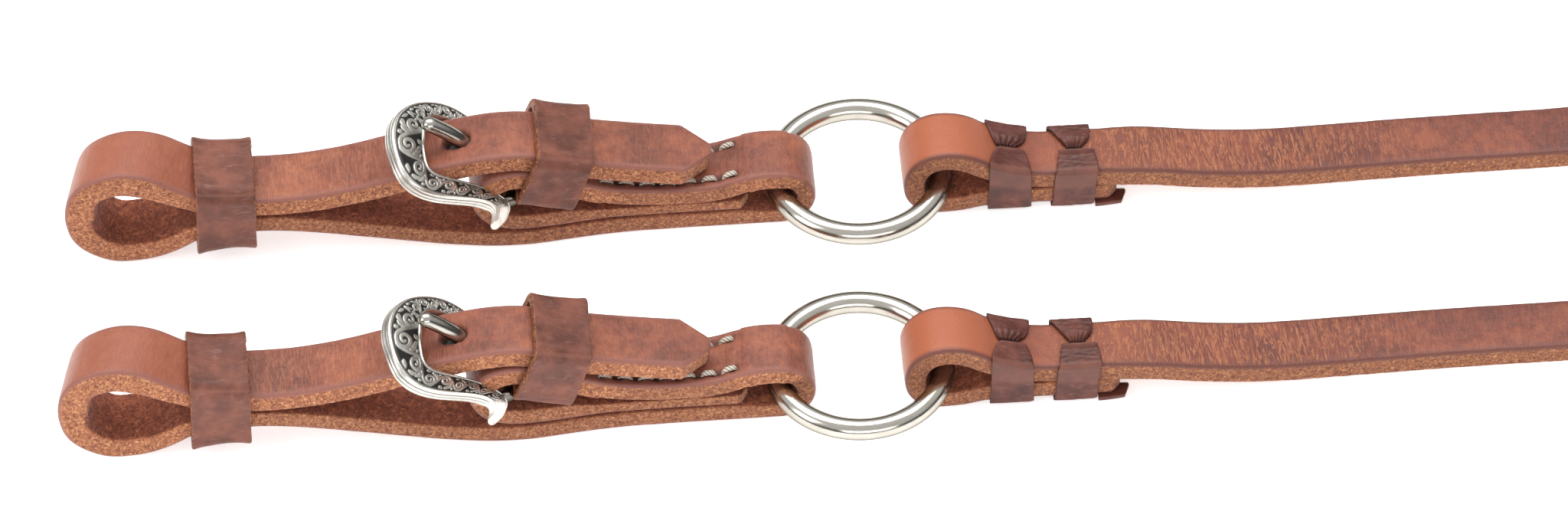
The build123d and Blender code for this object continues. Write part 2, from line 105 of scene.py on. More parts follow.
def skin_faces(skin, start):
    """Quads between neighbouring rows and columns, and a fan of triangles over each open end."""
    rows, cols = skin["grid"].shape[:2]
    i, j = np.meshgrid(np.arange(rows if skin["ring"] else rows - 1), np.arange(cols),
                       indexing="ij")
    i, j = i.ravel(), j.ravel()
    corner = [(i, j), (i + 1, j), (i + 1, j + 1), (i, j + 1)]
    quads = np.stack([(a % rows) * cols + b % cols for a, b in corner], 1)
    uv = np.stack([np.stack([skin["u"][a], skin["v"][b]], 1) for a, b in corner], 1)
    points = skin["grid"].reshape(-1, 3)
    fans, fan_uv = np.zeros((0, 3), int), np.zeros((0, 3, 2))
    if not skin["ring"]:
        k = np.arange(cols)
        for row, flip in ((0, False), (rows - 1, True)):
            ends = [row * cols + k, row * cols + (k + 1) % cols]
            middle = np.full(cols, len(points))
            fans = np.vstack([fans, np.stack([middle, *(ends[::-1] if flip else ends)], 1)])
            flat = np.stack([np.full(cols, skin["u"][row]), skin["v"][k]], 1)
            fan_uv = np.vstack([fan_uv, np.stack([flat] * 3, 1)])
            points = np.vstack([points, skin["grid"][row].mean(0)])
    corners = points[quads]
    volume = sum(np.einsum("ij,ij->", corners[:, 0], np.cross(corners[:, a], corners[:, a + 1]))
                 for a in (1, 2))
    volume += np.einsum("ij,ij->", points[fans[:, 0]],
                        np.cross(points[fans[:, 1]], points[fans[:, 2]]))
    if volume < 0:
        quads, uv, fans, fan_uv = quads[:, ::-1], uv[:, ::-1], fans[:, ::-1], fan_uv[:, ::-1]
    return points, quads + start, uv, fans + start, fan_uv


def build(name, skins, material, body, stands_for=()):
    """One piece from one or more closed skins, riding on a body of the frame."""
    points, quads, uvs, fans, fan_uvs, start = [], [], [], [], [], 0
    keys = sorted({key for skin in skins for key in skin["values"]})
    values = {key: [] for key in keys}
    for skin in skins:
        p, q, uv, f, fuv = skin_faces(skin, start)
        cells = skin["grid"].shape[0] * skin["grid"].shape[1]
        for key in keys:
            kept = np.broadcast_to(skin["values"].get(key, 0.0), skin["grid"].shape[:2]).ravel()
            values[key].append(np.r_[kept, kept[[0, -1]][: len(p) - cells]])
        points.append(p), quads.append(q), uvs.append(uv), fans.append(f), fan_uvs.append(fuv)
        start += len(p)
    quads, fans = np.vstack(quads), np.vstack(fans)
    mesh = bpy.data.meshes.new(name)
    mesh.from_pydata((np.vstack(points) * MM).tolist(), [], quads.tolist() + fans.tolist())
    layer = mesh.uv_layers.new(name="UVMap")
    flat = np.r_[np.vstack(uvs).reshape(-1), np.vstack(fan_uvs).reshape(-1)]
    layer.data.foreach_set("uv", flat.astype(np.float32))
    for key in keys:
        attribute = mesh.attributes.new(key, "FLOAT", "POINT")
        attribute.data.foreach_set("value", np.concatenate(values[key]).astype(np.float32))
    mesh.polygons.foreach_set("use_smooth", np.ones(len(mesh.polygons), bool))
    mesh.materials.append(material)
    piece = bpy.data.objects.new(name, mesh)
    bpy.context.scene.collection.objects.link(piece)
    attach(piece, body)
    if stands_for:
        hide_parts(*stands_for)
    return piece


# ---- colours and materials ------------------------------------------------------------
def linear(colour):
    """An sRGB hex colour as linear RGBA."""
    rgb = np.array([int(colour[k:k + 2], 16) / 255 for k in (0, 2, 4)])
    rgb = np.where(rgb <= 0.04045, rgb / 12.92, ((rgb + 0.055) / 1.055) ** 2.4)
    return (*[float(c) for c in rgb], 1.0)


def put(tree, kind, values=None, links=None, stops=(), **settings):
    """A shader node with its settings, socket values, incoming links and colour stops."""
    made = tree.nodes.new("ShaderNode" + kind)
    for _ in stops[2:]:
        made.color_ramp.elements.new(0.5)
    for k, (place, colour) in enumerate(stops):
        made.color_ramp.elements[k].position = place
        made.color_ramp.elements[k].color = linear(colour)
    for key, value in settings.items():
        setattr(made, key, value)
    for key, value in (values or {}).items():
        made.inputs[key].default_value = value
    for key, socket in (links or {}).items():
        tree.links.new(socket, made.inputs[key])
    return made


def blank(name):
    """A new material's node tree with its Principled shader."""
    material = bpy.data.materials.new(name)
    material.use_nodes = True
    tree = material.node_tree
    return material, tree, tree.nodes["Principled BSDF"]


def strap_leather(name, grain, pull, bevel, edge, flesh, wrinkle, wrinkle_light, gloss):
    """Vegetable-tanned harness leather, dyed through, grain side oiled and glazed: a satin face
    with pores and creases, a burnished bevel whose colour is partly a painted highlight, a fibrous
    cut edge and a fuzzy flesh side, all mixed toward near-black painted shade where the
    dark attribute is set."""
    material, tree, shader = blank(name)
    place = put(tree, "TexCoord").outputs["Object"]
    along = put(tree, "UVMap", uv_map="UVMap").outputs["UV"]
    share = {key: put(tree, "Attribute", attribute_name=key).outputs["Fac"]
             for key in ("grain", "bevel", "flesh", "crease", "dark", "pull")}
    # 14 mm clouds of dye, 3 mm mottling, 0.6 mm pores
    clouds = put(tree, "TexNoise", {"Scale": 70, "Detail": 3.0, "Roughness": 0.55},
                 {"Vector": place})
    mottle = put(tree, "TexNoise", {"Scale": 420, "Detail": 5.0, "Roughness": 0.65},
                 {"Vector": place})
    pores = put(tree, "TexVoronoi", {"Scale": 1700}, {"Vector": place})
    dye = put(tree, "Math", {1: 0.45}, {0: mottle.outputs["Fac"]}, operation="MULTIPLY")
    dye = put(tree, "Math", {1: 0.55}, {0: clouds.outputs["Fac"], 2: dye.outputs[0]},
              operation="MULTIPLY_ADD")
    face = put(tree, "ValToRGB", links={"Fac": dye.outputs[0]},
               stops=list(zip((0.37, 0.5, 0.63), grain))).outputs[0]
    # where it is bent hard the oil is pushed away and the face pales
    face = put(tree, "Mix", {7: linear(pull)}, {0: share["pull"], 6: face},
               data_type="RGBA").outputs[2]
    # creases lie across the strap, about 1 mm apart and 5 mm long
    stretched = put(tree, "Mapping", {"Scale": (1.15, 0.17, 1)}, {"Vector": along})
    lines = put(tree, "TexNoise",
                {"Scale": 1.0, "Detail": 3.0, "Roughness": 0.6, "Distortion": 0.6},
                {"Vector": stretched.outputs[0]})
    ridge = put(tree, "Math", {1: 0.5}, {0: lines.outputs["Fac"]}, operation="SUBTRACT")
    ridge = put(tree, "Math", {}, {0: ridge.outputs[0]}, operation="ABSOLUTE")
    ridge = put(tree, "MapRange", {"From Min": 0.0, "From Max": 0.07, "To Min": 1.0, "To Max": 0.0},
                {"Value": ridge.outputs[0]})
    creased = put(tree, "Math", {}, {0: ridge.outputs[0], 1: share["crease"]}, operation="MULTIPLY")
    lighter = put(tree, "Math", {1: wrinkle_light}, {0: creased.outputs[0]}, operation="MULTIPLY")
    face = put(tree, "Mix", {7: linear(wrinkle)}, {0: lighter.outputs[0], 6: face},
               data_type="RGBA").outputs[2]
    # the cut edge: 0.4 mm bundles of fibre, orange on brown, with dark pits
    fibre = put(tree, "TexNoise",
                {"Scale": 1500, "Detail": 6.0, "Roughness": 0.75, "Distortion": 0.8},
                {"Vector": place})
    raw = put(tree, "ValToRGB", links={"Fac": fibre.outputs["Fac"]},
              stops=list(zip((0.34, 0.47, 0.56, 0.68), edge))).outputs[0]
    # the flesh side: 1.2 mm tufts, with paler fuzz standing on them
    tufts = put(tree, "TexNoise",
                {"Scale": 750, "Detail": 8.0, "Roughness": 0.7, "Distortion": 1.5},
                {"Vector": place})
    rough = put(tree, "ValToRGB", links={"Fac": tufts.outputs["Fac"]},
                stops=list(zip((0.32, 0.5, 0.62, 0.74), flesh))).outputs[0]
    colour = put(tree, "Mix", {}, {0: share["grain"], 6: raw, 7: face}, data_type="RGBA").outputs[2]
    colour = put(tree, "Mix", {}, {0: share["flesh"], 6: colour, 7: rough},
                 data_type="RGBA").outputs[2]
    # the bevel colour is partly a painted highlight along the edge: greyer than the face, and on
    # the bit strap paler
    colour = put(tree, "Mix", {7: linear(bevel)}, {0: share["bevel"], 6: colour},
                 data_type="RGBA").outputs[2]
    # painted shade: near-black mixed in where the dark attribute is set
    colour = put(tree, "Mix", {7: linear("1c0f0b")}, {0: share["dark"], 6: colour},
                 data_type="RGBA").outputs[2]
    tree.links.new(colour, shader.inputs["Base Color"])
    finish = put(tree, "Math", {}, {0: share["grain"], 1: share["bevel"]}, operation="MAXIMUM")
    dull = put(tree, "MapRange", {"To Min": 0.85, "To Max": gloss}, {"Value": finish.outputs[0]})
    uneven = put(tree, "Math", {1: 0.22, 2: -0.11}, {0: mottle.outputs["Fac"]},
                 operation="MULTIPLY_ADD")
    total = put(tree, "Math", {}, {0: dull.outputs[0], 1: uneven.outputs[0]}, operation="ADD")
    tree.links.new(total.outputs[0], shader.inputs["Roughness"])
    relief = put(tree, "Math", {1: 0.35}, {0: pores.outputs["Distance"], 2: mottle.outputs["Fac"]},
                 operation="MULTIPLY_ADD")
    relief = put(tree, "Math", {1: -0.55}, {0: creased.outputs[0], 2: relief.outputs[0]},
                 operation="MULTIPLY_ADD")
    bare = put(tree, "Math", {1: 2.2}, {0: fibre.outputs["Fac"]}, operation="MULTIPLY")
    fuzz = put(tree, "Math", {1: 2.6}, {0: tufts.outputs["Fac"]}, operation="MULTIPLY")
    height = put(tree, "Mix", {}, {0: share["flesh"], 2: bare.outputs[0], 3: fuzz.outputs[0]})
    height = put(tree, "Mix", {},
                 {0: finish.outputs[0], 2: height.outputs[0], 3: relief.outputs[0]})
    bump = put(tree, "Bump", {"Strength": 0.55, "Distance": 0.00022}, {"Height": height.outputs[0]})
    tree.links.new(bump.outputs[0], shader.inputs["Normal"])
    shader.inputs["IOR"].default_value = 1.45
    shader.inputs["Specular IOR Level"].default_value = 0.42
    shader.inputs["Sheen Weight"].default_value = 0.12
    shader.inputs["Sheen Roughness"].default_value = 0.5
    return material


def band_leather(name, face, edge, crease, gloss):
    """Soft oiled leather cut in strips, such as latigo or keeper stock: a dull deep brown face with
    fine creases, scuffed paler where it bends, and a cut edge of the same colour. Where the
    worn attribute is set the face pales, for worn bends on the keepers and as a
    painted highlight on the laces; the dark attribute mixes in painted shade."""
    material, tree, shader = blank(name)
    place = put(tree, "TexCoord").outputs["Object"]
    share = {key: put(tree, "Attribute", attribute_name=key).outputs["Fac"]
             for key in ("worn", "cut", "dark")}
    clouds = put(tree, "TexNoise", {"Scale": 190, "Detail": 5.0, "Roughness": 0.6},
                 {"Vector": place})
    tilted = put(tree, "Mapping", {"Rotation": (0.2, 0.5, 0.6), "Scale": (260, 1200, 700)},
                 {"Vector": place})
    scuffs = put(tree, "TexNoise",
                 {"Scale": 1.0, "Detail": 4.0, "Roughness": 0.6, "Distortion": 0.5},
                 {"Vector": tilted.outputs[0]})
    pores = put(tree, "TexVoronoi", {"Scale": 1500}, {"Vector": place})
    skin = put(tree, "ValToRGB", links={"Fac": clouds.outputs["Fac"]},
               stops=list(zip((0.35, 0.5, 0.66), face))).outputs[0]
    scuffed = put(tree, "MapRange", {"From Min": 0.55, "From Max": 0.75, "To Max": 0.55},
                  {"Value": scuffs.outputs["Fac"]})
    # paler for scuffs and worn bends, and for painted highlights where worn marks them
    worn = put(tree, "Math", {}, {0: scuffed.outputs[0], 1: share["worn"]}, operation="MAXIMUM")
    colour = put(tree, "Mix", {7: linear(crease)}, {0: worn.outputs[0], 6: skin},
                 data_type="RGBA").outputs[2]
    fibre = put(tree, "TexNoise", {"Scale": 1600, "Detail": 5.0, "Roughness": 0.7},
                {"Vector": place})
    raw = put(tree, "ValToRGB", links={"Fac": fibre.outputs["Fac"]},
              stops=list(zip((0.38, 0.5, 0.64), edge))).outputs[0]
    colour = put(tree, "Mix", {}, {0: share["cut"], 6: colour, 7: raw}, data_type="RGBA").outputs[2]
    # painted shade: near-black mixed in where the dark attribute is set
    colour = put(tree, "Mix", {7: linear("0d0605")}, {0: share["dark"], 6: colour},
                 data_type="RGBA").outputs[2]
    tree.links.new(colour, shader.inputs["Base Color"])
    dull = put(tree, "MapRange",
               {"From Min": 0.3, "From Max": 0.7, "To Min": gloss, "To Max": gloss + 0.16},
               {"Value": clouds.outputs["Fac"]})
    tree.links.new(dull.outputs[0], shader.inputs["Roughness"])
    relief = put(tree, "Math", {1: 0.3}, {0: pores.outputs["Distance"], 2: scuffs.outputs["Fac"]},
                 operation="MULTIPLY_ADD")
    bump = put(tree, "Bump", {"Strength": 0.4, "Distance": 0.0002}, {"Height": relief.outputs[0]})
    tree.links.new(bump.outputs[0], shader.inputs["Normal"])
    shader.inputs["IOR"].default_value = 1.45
    shader.inputs["Specular IOR Level"].default_value = 0.4
    return material


def polished_metal(name, colour, hazy, roughness, scratch):
    """Nickel over steel, buffed: a mirror with faint 0.1 mm buffing lines and slightly hazy
    patches, greyer where it is seen edge on."""
    material, tree, shader = blank(name)
    place = put(tree, "TexCoord").outputs["Object"]
    drawn = put(tree, "Mapping", {"Scale": (2600, 2600, 9000)}, {"Vector": place})
    lines = put(tree, "TexNoise", {"Scale": 1.0, "Detail": 2.0}, {"Vector": drawn.outputs[0]})
    haze = put(tree, "TexNoise", {"Scale": 240, "Detail": 3.0}, {"Vector": place})
    tint = put(tree, "ValToRGB", links={"Fac": haze.outputs["Fac"]},
               stops=[(0.3, colour), (0.75, hazy)]).outputs[0]
    tree.links.new(tint, shader.inputs["Base Color"])
    rough = put(tree, "MapRange", {"From Min": 0.3, "From Max": 0.7, "To Min": roughness,
                                   "To Max": roughness + 0.07}, {"Value": haze.outputs["Fac"]})
    tree.links.new(rough.outputs[0], shader.inputs["Roughness"])
    bump = put(tree, "Bump", {"Strength": scratch, "Distance": 0.00003},
               {"Height": lines.outputs["Fac"]})
    tree.links.new(bump.outputs[0], shader.inputs["Normal"])
    shader.inputs["Metallic"].default_value = 1.0
    shader.inputs["Specular Tint"].default_value = linear("938f86")
    return material


def antique_silver():
    """Cast white metal, silver plated, its engraving filled with black and the high parts rubbed
    bright: pale satin scrolls on a matt black ground, grey shading lines and a polished rim."""
    material, tree, shader = blank("antique_silver_engraved")
    place = put(tree, "TexCoord").outputs["Object"]
    ink = put(tree, "Attribute", attribute_name="ink").outputs["Fac"]
    rubbed = put(tree, "TexNoise", {"Scale": 900, "Detail": 5.0, "Roughness": 0.7},
                 {"Vector": place})
    bright = put(tree, "ValToRGB", links={"Fac": rubbed.outputs["Fac"]},
                 stops=[(0.3, "c6c2ba"), (0.5, "d8d5cd"), (0.7, "e4e1da")]).outputs[0]
    colour = put(tree, "Mix", {7: linear("15130f")}, {0: ink, 6: bright},
                 data_type="RGBA").outputs[2]
    tree.links.new(colour, shader.inputs["Base Color"])
    rough = put(tree, "MapRange", {"To Min": 0.31, "To Max": 0.62}, {"Value": ink})
    tree.links.new(rough.outputs[0], shader.inputs["Roughness"])
    metal = put(tree, "MapRange", {"To Min": 1.0, "To Max": 0.25}, {"Value": ink})
    tree.links.new(metal.outputs[0], shader.inputs["Metallic"])
    bump = put(tree, "Bump", {"Strength": 0.03, "Distance": 0.00003},
               {"Height": rubbed.outputs["Fac"]})
    tree.links.new(bump.outputs[0], shader.inputs["Normal"])
    return material


def waxed_thread():
    """Waxed linen thread: two plies with about 1 mm to a turn, ivory, a greyer brown in the grooves
    of the twist.
    """
    material, tree, shader = blank("waxed_linen_thread")
    along = put(tree, "UVMap", uv_map="UVMap").outputs["UV"]
    turned = put(tree, "Mapping", {"Rotation": (0, 0, 0.8)}, {"Vector": along})
    twist = put(tree, "TexWave", {"Scale": 0.55, "Distortion": 0.6, "Detail": 1.0},
                {"Vector": turned.outputs[0]})
    colour = put(tree, "ValToRGB", links={"Fac": twist.outputs["Fac"]},
                 stops=[(0.1, "8f8377"), (0.5, "bfb4a7"), (0.9, "d6ccbf")]).outputs[0]
    tree.links.new(colour, shader.inputs["Base Color"])
    bump = put(tree, "Bump", {"Strength": 0.7, "Distance": 0.00015},
               {"Height": twist.outputs["Fac"]})
    tree.links.new(bump.outputs[0], shader.inputs["Normal"])
    shader.inputs["Roughness"].default_value = 0.75
    return material


BIT_LEATHER = strap_leather(
    "harness_leather_bit_strap", grain=("673629", "834735", "9e5b40"), pull="a05b43",
    bevel="8f5a4e", edge=("5a3425", "96583c", "bf7f56", "e6b384"),
    flesh=("4a2419", "8a4b36", "b26a49", "d48a5b"), wrinkle="bd7f60", wrinkle_light=0.6, gloss=0.44)
REIN_LEATHER = strap_leather(
    "harness_leather_rein", grain=("5a2c23", "71382b", "8b4a33"), pull="ac5f3f",
    bevel="6b3d33", edge=("512e22", "834d35", "a56b47", "cb9568"),
    flesh=("4a2418", "8e4d35", "b86d48", "da905c"), wrinkle="b5734f", wrinkle_light=0.75,
    gloss=0.42)
KEEPER_LEATHER = band_leather("keeper_leather_waxed", ("5b3327", "704134", "834f3f"),
                              ("4a291e", "7d4b34", "b0744c"), "94665a", 0.46)
LACE_LEATHER = band_leather("latigo_lace_oiled", ("46221b", "5a2e26", "6c3d32"),
                            ("2c1510", "4f2c22", "6d4231"), "8a5a4c", 0.36)
RING_METAL = polished_metal("nickel_plate_ring", "c6c2b9", "bab5aa", 0.14, 0.25)
TONGUE_METAL = polished_metal("nickel_plate_tongue", "bfbbb3", "aeaaa2", 0.14, 0.3)
# the bar's nickel is a much deeper grey than the ring's: painted shade for the bar in the strap's
# fold
BAR_METAL_PAINTED_SHADE = polished_metal("nickel_plate_bar_painted_shade", "77736d", "66625c", 0.22, 0.3)
SILVER = antique_silver()
THREAD = waxed_thread()

# ---- the strap's section --------------------------------------------------------------
# Half a section from the middle of the flesh side, round the edge, to the middle of the grain side:
# across, height, and the shares of flesh, burnished bevel and grain; the raw edge has the rest.
SECTION = np.array([
    (0.0, -2.38, 1, 0, 0), (1.6, -2.38, 1, 0, 0), (3.2, -2.38, 1, 0, 0), (4.8, -2.38, 1, 0, 0),
    (5.8, -2.37, 1, 0, 0), (6.18, -2.33, 0.7, 0, 0), (6.33, -2.15, 0.25, 0, 0),
    (6.38, -1.7, 0, 0, 0), (6.38, -1.0, 0, 0, 0), (6.38, -0.3, 0, 0, 0), (6.38, 0.4, 0, 0, 0),
    (6.38, 1.0, 0, 0, 0), (6.37, 1.4, 0, 0.1, 0), (6.34, 1.7, 0, 0.75, 0),
    (6.26, 1.95, 0, 1, 0.4), (6.1, 2.15, 0, 1, 1), (5.85, 2.27, 0, 0.85, 1),
    (5.45, 2.31, 0, 0.35, 1), (4.95, 2.35, 0, 0, 1), (4.3, 2.38, 0, 0, 1), (3.6, 2.385, 0, 0, 1),
    (2.9, 2.39, 0, 0, 1), (2.2, 2.395, 0, 0, 1), (1.5, 2.40, 0, 0, 1), (0.75, 2.40, 0, 0, 1),
    (0.0, 2.40, 0, 0, 1)])
MIRRORED = SECTION[-2:0:-1] * np.array([-1, 1, 1, 1, 1])
PROFILE = np.vstack([SECTION, MIRRORED])


def strap_skin(line, grain_way, across_way, thick=2 * HALF_THICK, narrow=1.0, seed=1,
               crease=0.0, dark=0.0, pull=0.0, bunch=0.0):
    """The section carried along a line: point = line + across * y + grain * n. The cut edge is
    nibbled by 0.1 mm of waves, the grain side dips by up to 0.06 mm, the flesh side stands out by
    `bunch` inside a bend (less where that is negative), and the ends are eased."""
    rows = len(line)

    def spread(value):
        return np.broadcast_to(np.asarray(value, float).reshape(-1, 1), y.shape)

    run = distance(line)
    y, n, flesh, bevel, grain = (np.tile(c, (rows, 1)) for c in PROFILE.T)
    u = np.broadcast_to(run[:, None], y.shape)
    around = distance(np.vstack([PROFILE[:, :2], PROFILE[:1, :2]]))
    v = np.broadcast_to(around[None, :-1], y.shape)
    raw = np.clip(1 - flesh - bevel - grain, 0, 1)
    y = y * (1 + 0.014 * raw * ripple(u, v, 1.3, seed) + 0.005 * ripple(u, 0 * v, 9, seed + 1))
    n = n - spread(bunch) * np.clip(-n / HALF_THICK, 0, 1)
    n = n * (spread(thick) / (2 * HALF_THICK))
    n = n - 0.03 * grain * (1 + ripple(u, v * 1.2, 5.5, seed + 2))
    n = n + 0.05 * flesh * (1 + ripple(u, v, 2.2, seed + 3))
    ends = np.minimum(run, run[-1] - run)[:, None]
    ease = 0.35 * np.clip(1 - ends / 0.5, 0, 1) ** 2
    y = y * spread(narrow)
    y = y - np.sign(y) * np.minimum(ease, np.abs(y))
    n = n - np.sign(n) * np.minimum(ease, np.abs(n))
    grid = line[:, None] + across_way[:, None] * y[..., None] + grain_way[:, None] * n[..., None]
    return tube(grid, np.r_[run, run[-1] + 1], around, flesh=flesh, bevel=bevel, grain=grain,
                crease=spread(crease) * grain, dark=np.broadcast_to(dark, y.shape),
                pull=spread(pull))


def side_line(route, spacing):
    """A route in X and Z as points, with the grain's way (the tangent turned a quarter) and +Y."""
    flat = eased(route, spacing)
    ahead = unit(np.gradient(flat, axis=0))
    line = np.stack([flat[:, 0], np.zeros(len(flat)), flat[:, 1]], 1)
    grain = np.stack([-ahead[:, 1], np.zeros(len(flat)), ahead[:, 0]], 1)
    return line, grain, np.tile([0.0, 1.0, 0.0], (len(flat), 1))


def half_octagon(x, z, radius, side):
    """The corners of a fold round a point, which `eased` turns to an arc."""
    short = 0.41421 * radius            # the tangent of 22.5 degrees
    return [(x + side * short, z - radius), (x + side * radius, z - short),
            (x + side * radius, z + short), (x + side * short, z + radius)]


def lie(points):
    """How the bit end really lies: it bows 2.6 mm to the front at the buckle, and the bit loop is
    skewed, its rear edge up to 3.3 mm short of its front edge."""
    placed = points.copy()
    placed[..., 1] -= 1.9 * np.exp(-((points[..., 0] + 27.3) / 15) ** 2)
    placed[..., 1] -= 0.7 * smooth(-points[..., 0], 15, 45) * (1 - smooth(-points[..., 0], 90, 118))
    rear = np.clip((points[..., 1] + HALF_WIDTH) / (2 * HALF_WIDTH), 0, 1)
    upper = smooth(points[..., 2], 8, 18)
    placed[..., 0] += rear * (3.3 * upper * smooth(-points[..., 0], 84, 104)
                             + 2.8 * (1 - upper) * smooth(-points[..., 0], 106, 126))
    return placed


# ---- camera, light and floor ----------------------------------------------------------
scene = bpy.context.scene
CAMERA_DISTANCE = 3.792                 # metres
target = Vector((28.6, -17.5, 0.0)) * MM
towards = Vector((-0.0533, -0.6618, 0.7478))
camera = bpy.data.objects.new("camera", bpy.data.cameras.new("camera"))
scene.collection.objects.link(camera)
camera.data.lens = 400
camera.data.sensor_width = 36
camera.data.clip_start, camera.data.clip_end = 0.1, 60
camera.location = target + towards * CAMERA_DISTANCE
camera.rotation_euler = towards.to_track_quat("Z", "Y").to_euler()
scene.camera = camera


def softbox(name, at, size, power, aim=(0.05, 0, 0)):
    """A rectangular studio light, aimed at the object."""
    light = bpy.data.lights.new(name, "AREA")
    light.shape = "RECTANGLE"
    light.size, light.size_y, light.energy = size[0], size[1], power
    lamp = bpy.data.objects.new(name, light)
    lamp.location = at
    lamp.rotation_euler = (Vector(at) - Vector(aim)).to_track_quat("Z", "Y").to_euler()
    scene.collection.objects.link(lamp)


softbox("top_softbox", (0.0, 0.5, 1.5), (1.6, 1.0), 20)
softbox("left_softbox", (-1.3, -0.6, 0.9), (0.7, 1.0), 7)
softbox("front_softbox", (0.2, -1.6, 0.6), (1.6, 0.5), 9)

world = bpy.data.worlds.new("studio_air")
world.use_nodes = True
air = world.node_tree
sky = put(air, "TexCoord").outputs["Generated"]
up = put(air, "SeparateXYZ", links={"Vector": sky}).outputs["Z"]
shade = put(air, "ValToRGB", links={"Fac": up},
            stops=[(0.0, "a8a8a8"), (0.1, "424242"), (0.28, "626262"), (0.47, "f0f0f0"),
                   (1.0, "ffffff")]).outputs[0]
air.links.new(shade, air.nodes["Background"].inputs["Color"])
air.nodes["Background"].inputs["Strength"].default_value = 0.82
scene.world = world
scene.view_settings.view_transform = "Standard"

floor_material, _, floor_shader = blank("pale_sweep")
floor_shader.inputs["Base Color"].default_value = linear("f4f4f4")
floor_shader.inputs["Roughness"].default_value = 0.9
floor_shader.inputs["Specular IOR Level"].default_value = 0.0
floor_shader.inputs["Emission Color"].default_value = (1, 1, 1, 1)
floor_shader.inputs["Emission Strength"].default_value = 0.6
FLOOR_Z = -0.0002                       # just clear of the lowest leather
floor_mesh = bpy.data.meshes.new("sweep")
floor_corners = [(x, y, FLOOR_Z) for x, y in ((-4, -4), (4, -4), (4, 4), (-4, 4))]
floor_mesh.from_pydata(floor_corners, [], [(0, 1, 2, 3)])
floor_mesh.materials.append(floor_material)
floor = bpy.data.objects.new("sweep", floor_mesh)
scene.collection.objects.link(floor)

# ---- the reins' long straps, put away in a hank ----------------------------------------
# Route points in metres, from the rear lace to where each strap stands on its edge.
REIN_POINTS = {
    "far": [(0.0942, 0, 0.00834), (0.107, 0, 0.00834), (0.120, 0.0002, 0.00558),
            (0.135, 0.0009, 0.00338), (0.152, 0.0020, 0.00263), (0.176, 0.0027, 0.00244),
            (0.205, 0.0027, 0.00244), (0.214, 0.0033, 0.0040), (0.226, 0.0056, 0.0095),
            (0.238, 0.0089, 0.0154), (0.250, 0.0128, 0.0193), (0.262, 0.0164, 0.02055),
            (0.275, 0.0194, 0.02055)],
    "near": [(0.0897, -0.0561, 0.00834), (0.1025, -0.0561, 0.00834), (0.1155, -0.0559, 0.00558),
             (0.1305, -0.0552, 0.00338), (0.1475, -0.0541, 0.00263), (0.1715, -0.0534, 0.00244),
             (0.2005, -0.0534, 0.00244), (0.210, -0.0540, 0.0033), (0.222, -0.0561, 0.0056),
             (0.234, -0.0593, 0.0075), (0.246, -0.0629, 0.0078), (0.258, -0.0665, 0.00765),
             (0.272, -0.0698, 0.00765)],
}
HANK_HEIGHT = {"far": 0.02055, "near": 0.00765}
TURN_ON_EDGE = {"far": (205.0, -90.0), "near": (200.5, 90.0)}


def hank_points(side, height):
    """Seven half turns about centres 1.3 mm either side of the middle line, each 2.6 mm tighter
    than the last, with straight runs between, and the strap's tail along the inside."""
    points, offset, tail_y = [], HANK_TURN_STEP / 2, -27.8
    for half in range(7):
        right = half % 2 == 0
        radius = HANK_RADIUS - HANK_TURN_STEP * half
        ways = np.radians((72, 36, 0, -36, -72) if right else (-108, -144, 180, 144, 108))
        middle_x, middle_y = (HANK_RIGHT, offset) if right else (HANK_LEFT, -offset)
        entry = middle_y + (radius if right else -radius)
        points += [(x, entry) for x in ((300, 347, 394) if right else (394, 347, 300))]
        corner = radius / np.cos(np.radians(18))
        points += list(zip(middle_x + corner * np.cos(ways), middle_y + corner * np.sin(ways)))
    points += [(x, tail_y) for x in (394, 362, 332.5)]
    return [(x * MM, (HANK_Y + side * y) * MM, height) for x, y in points]


def rein_line(name, points):
    """The route's smooth line, as points in millimetres."""
    curve = bpy.data.curves.new(name, "CURVE")
    curve.dimensions = "3D"
    spline = curve.splines.new("NURBS")
    spline.points.add(len(points) - 1)
    spline.points.foreach_set("co", [c for p in points for c in (*p, 1.0)])
    spline.order_u = 3
    spline.use_endpoint_u = True
    spline.resolution_u = 24
    holder = bpy.data.objects.new(name, curve)
    scene.collection.objects.link(holder)
    bpy.context.view_layer.update()
    graph = bpy.context.evaluated_depsgraph_get()
    mesh = bpy.data.meshes.new_from_object(holder.evaluated_get(graph))
    line = np.zeros(len(mesh.vertices) * 3)
    mesh.vertices.foreach_get("co", line)
    bpy.data.objects.remove(holder)
    return line.reshape(-1, 3) / MM


def long_rein(rein, side):
    """The free strap: flat past the laces, turned on its edge, then round the hank."""
    line = rein_line(f"{rein}_rein_route", REIN_POINTS[rein] + hank_points(side, HANK_HEIGHT[rein]))
    line = even(line, 0.8)
    ahead = unit(np.gradient(line, axis=0))
    left = unit(np.cross([0.0, 0.0, 1.0], ahead))
    above = np.cross(ahead, left)
    start, turn = TURN_ON_EDGE[rein]
    run = distance(line)
    begin = run[np.argmax(line[:, 0] > start)]
    roll = np.radians(turn) * smooth(run, begin, begin + 60)[:, None]
    across = left * np.cos(roll) + above * np.sin(roll)
    crease = 0.15 + 0.85 * (1 - smooth(run, 45, 85))
    fade = 1 - smooth(run, 100, 130)
    skin = strap_skin(line, np.cross(ahead, across), across, 5.15 - 0.39 * smooth(run, 105, 140),
                      1 + 0.05 * smooth(run, 4, 12), 11 if side > 0 else 17,
                      crease=crease * fade + 0.08, pull=0.30 * (1 - smooth(run, 0, 40)))
    piece = build(f"{rein}_rein_strap_leather", [skin], REIN_LEATHER, "reins",
                  (f"{rein}_rein_strap", f"{rein}_rein_hank"))


for rein, (shift, side) in REINS.items():
    long_rein(rein, side)

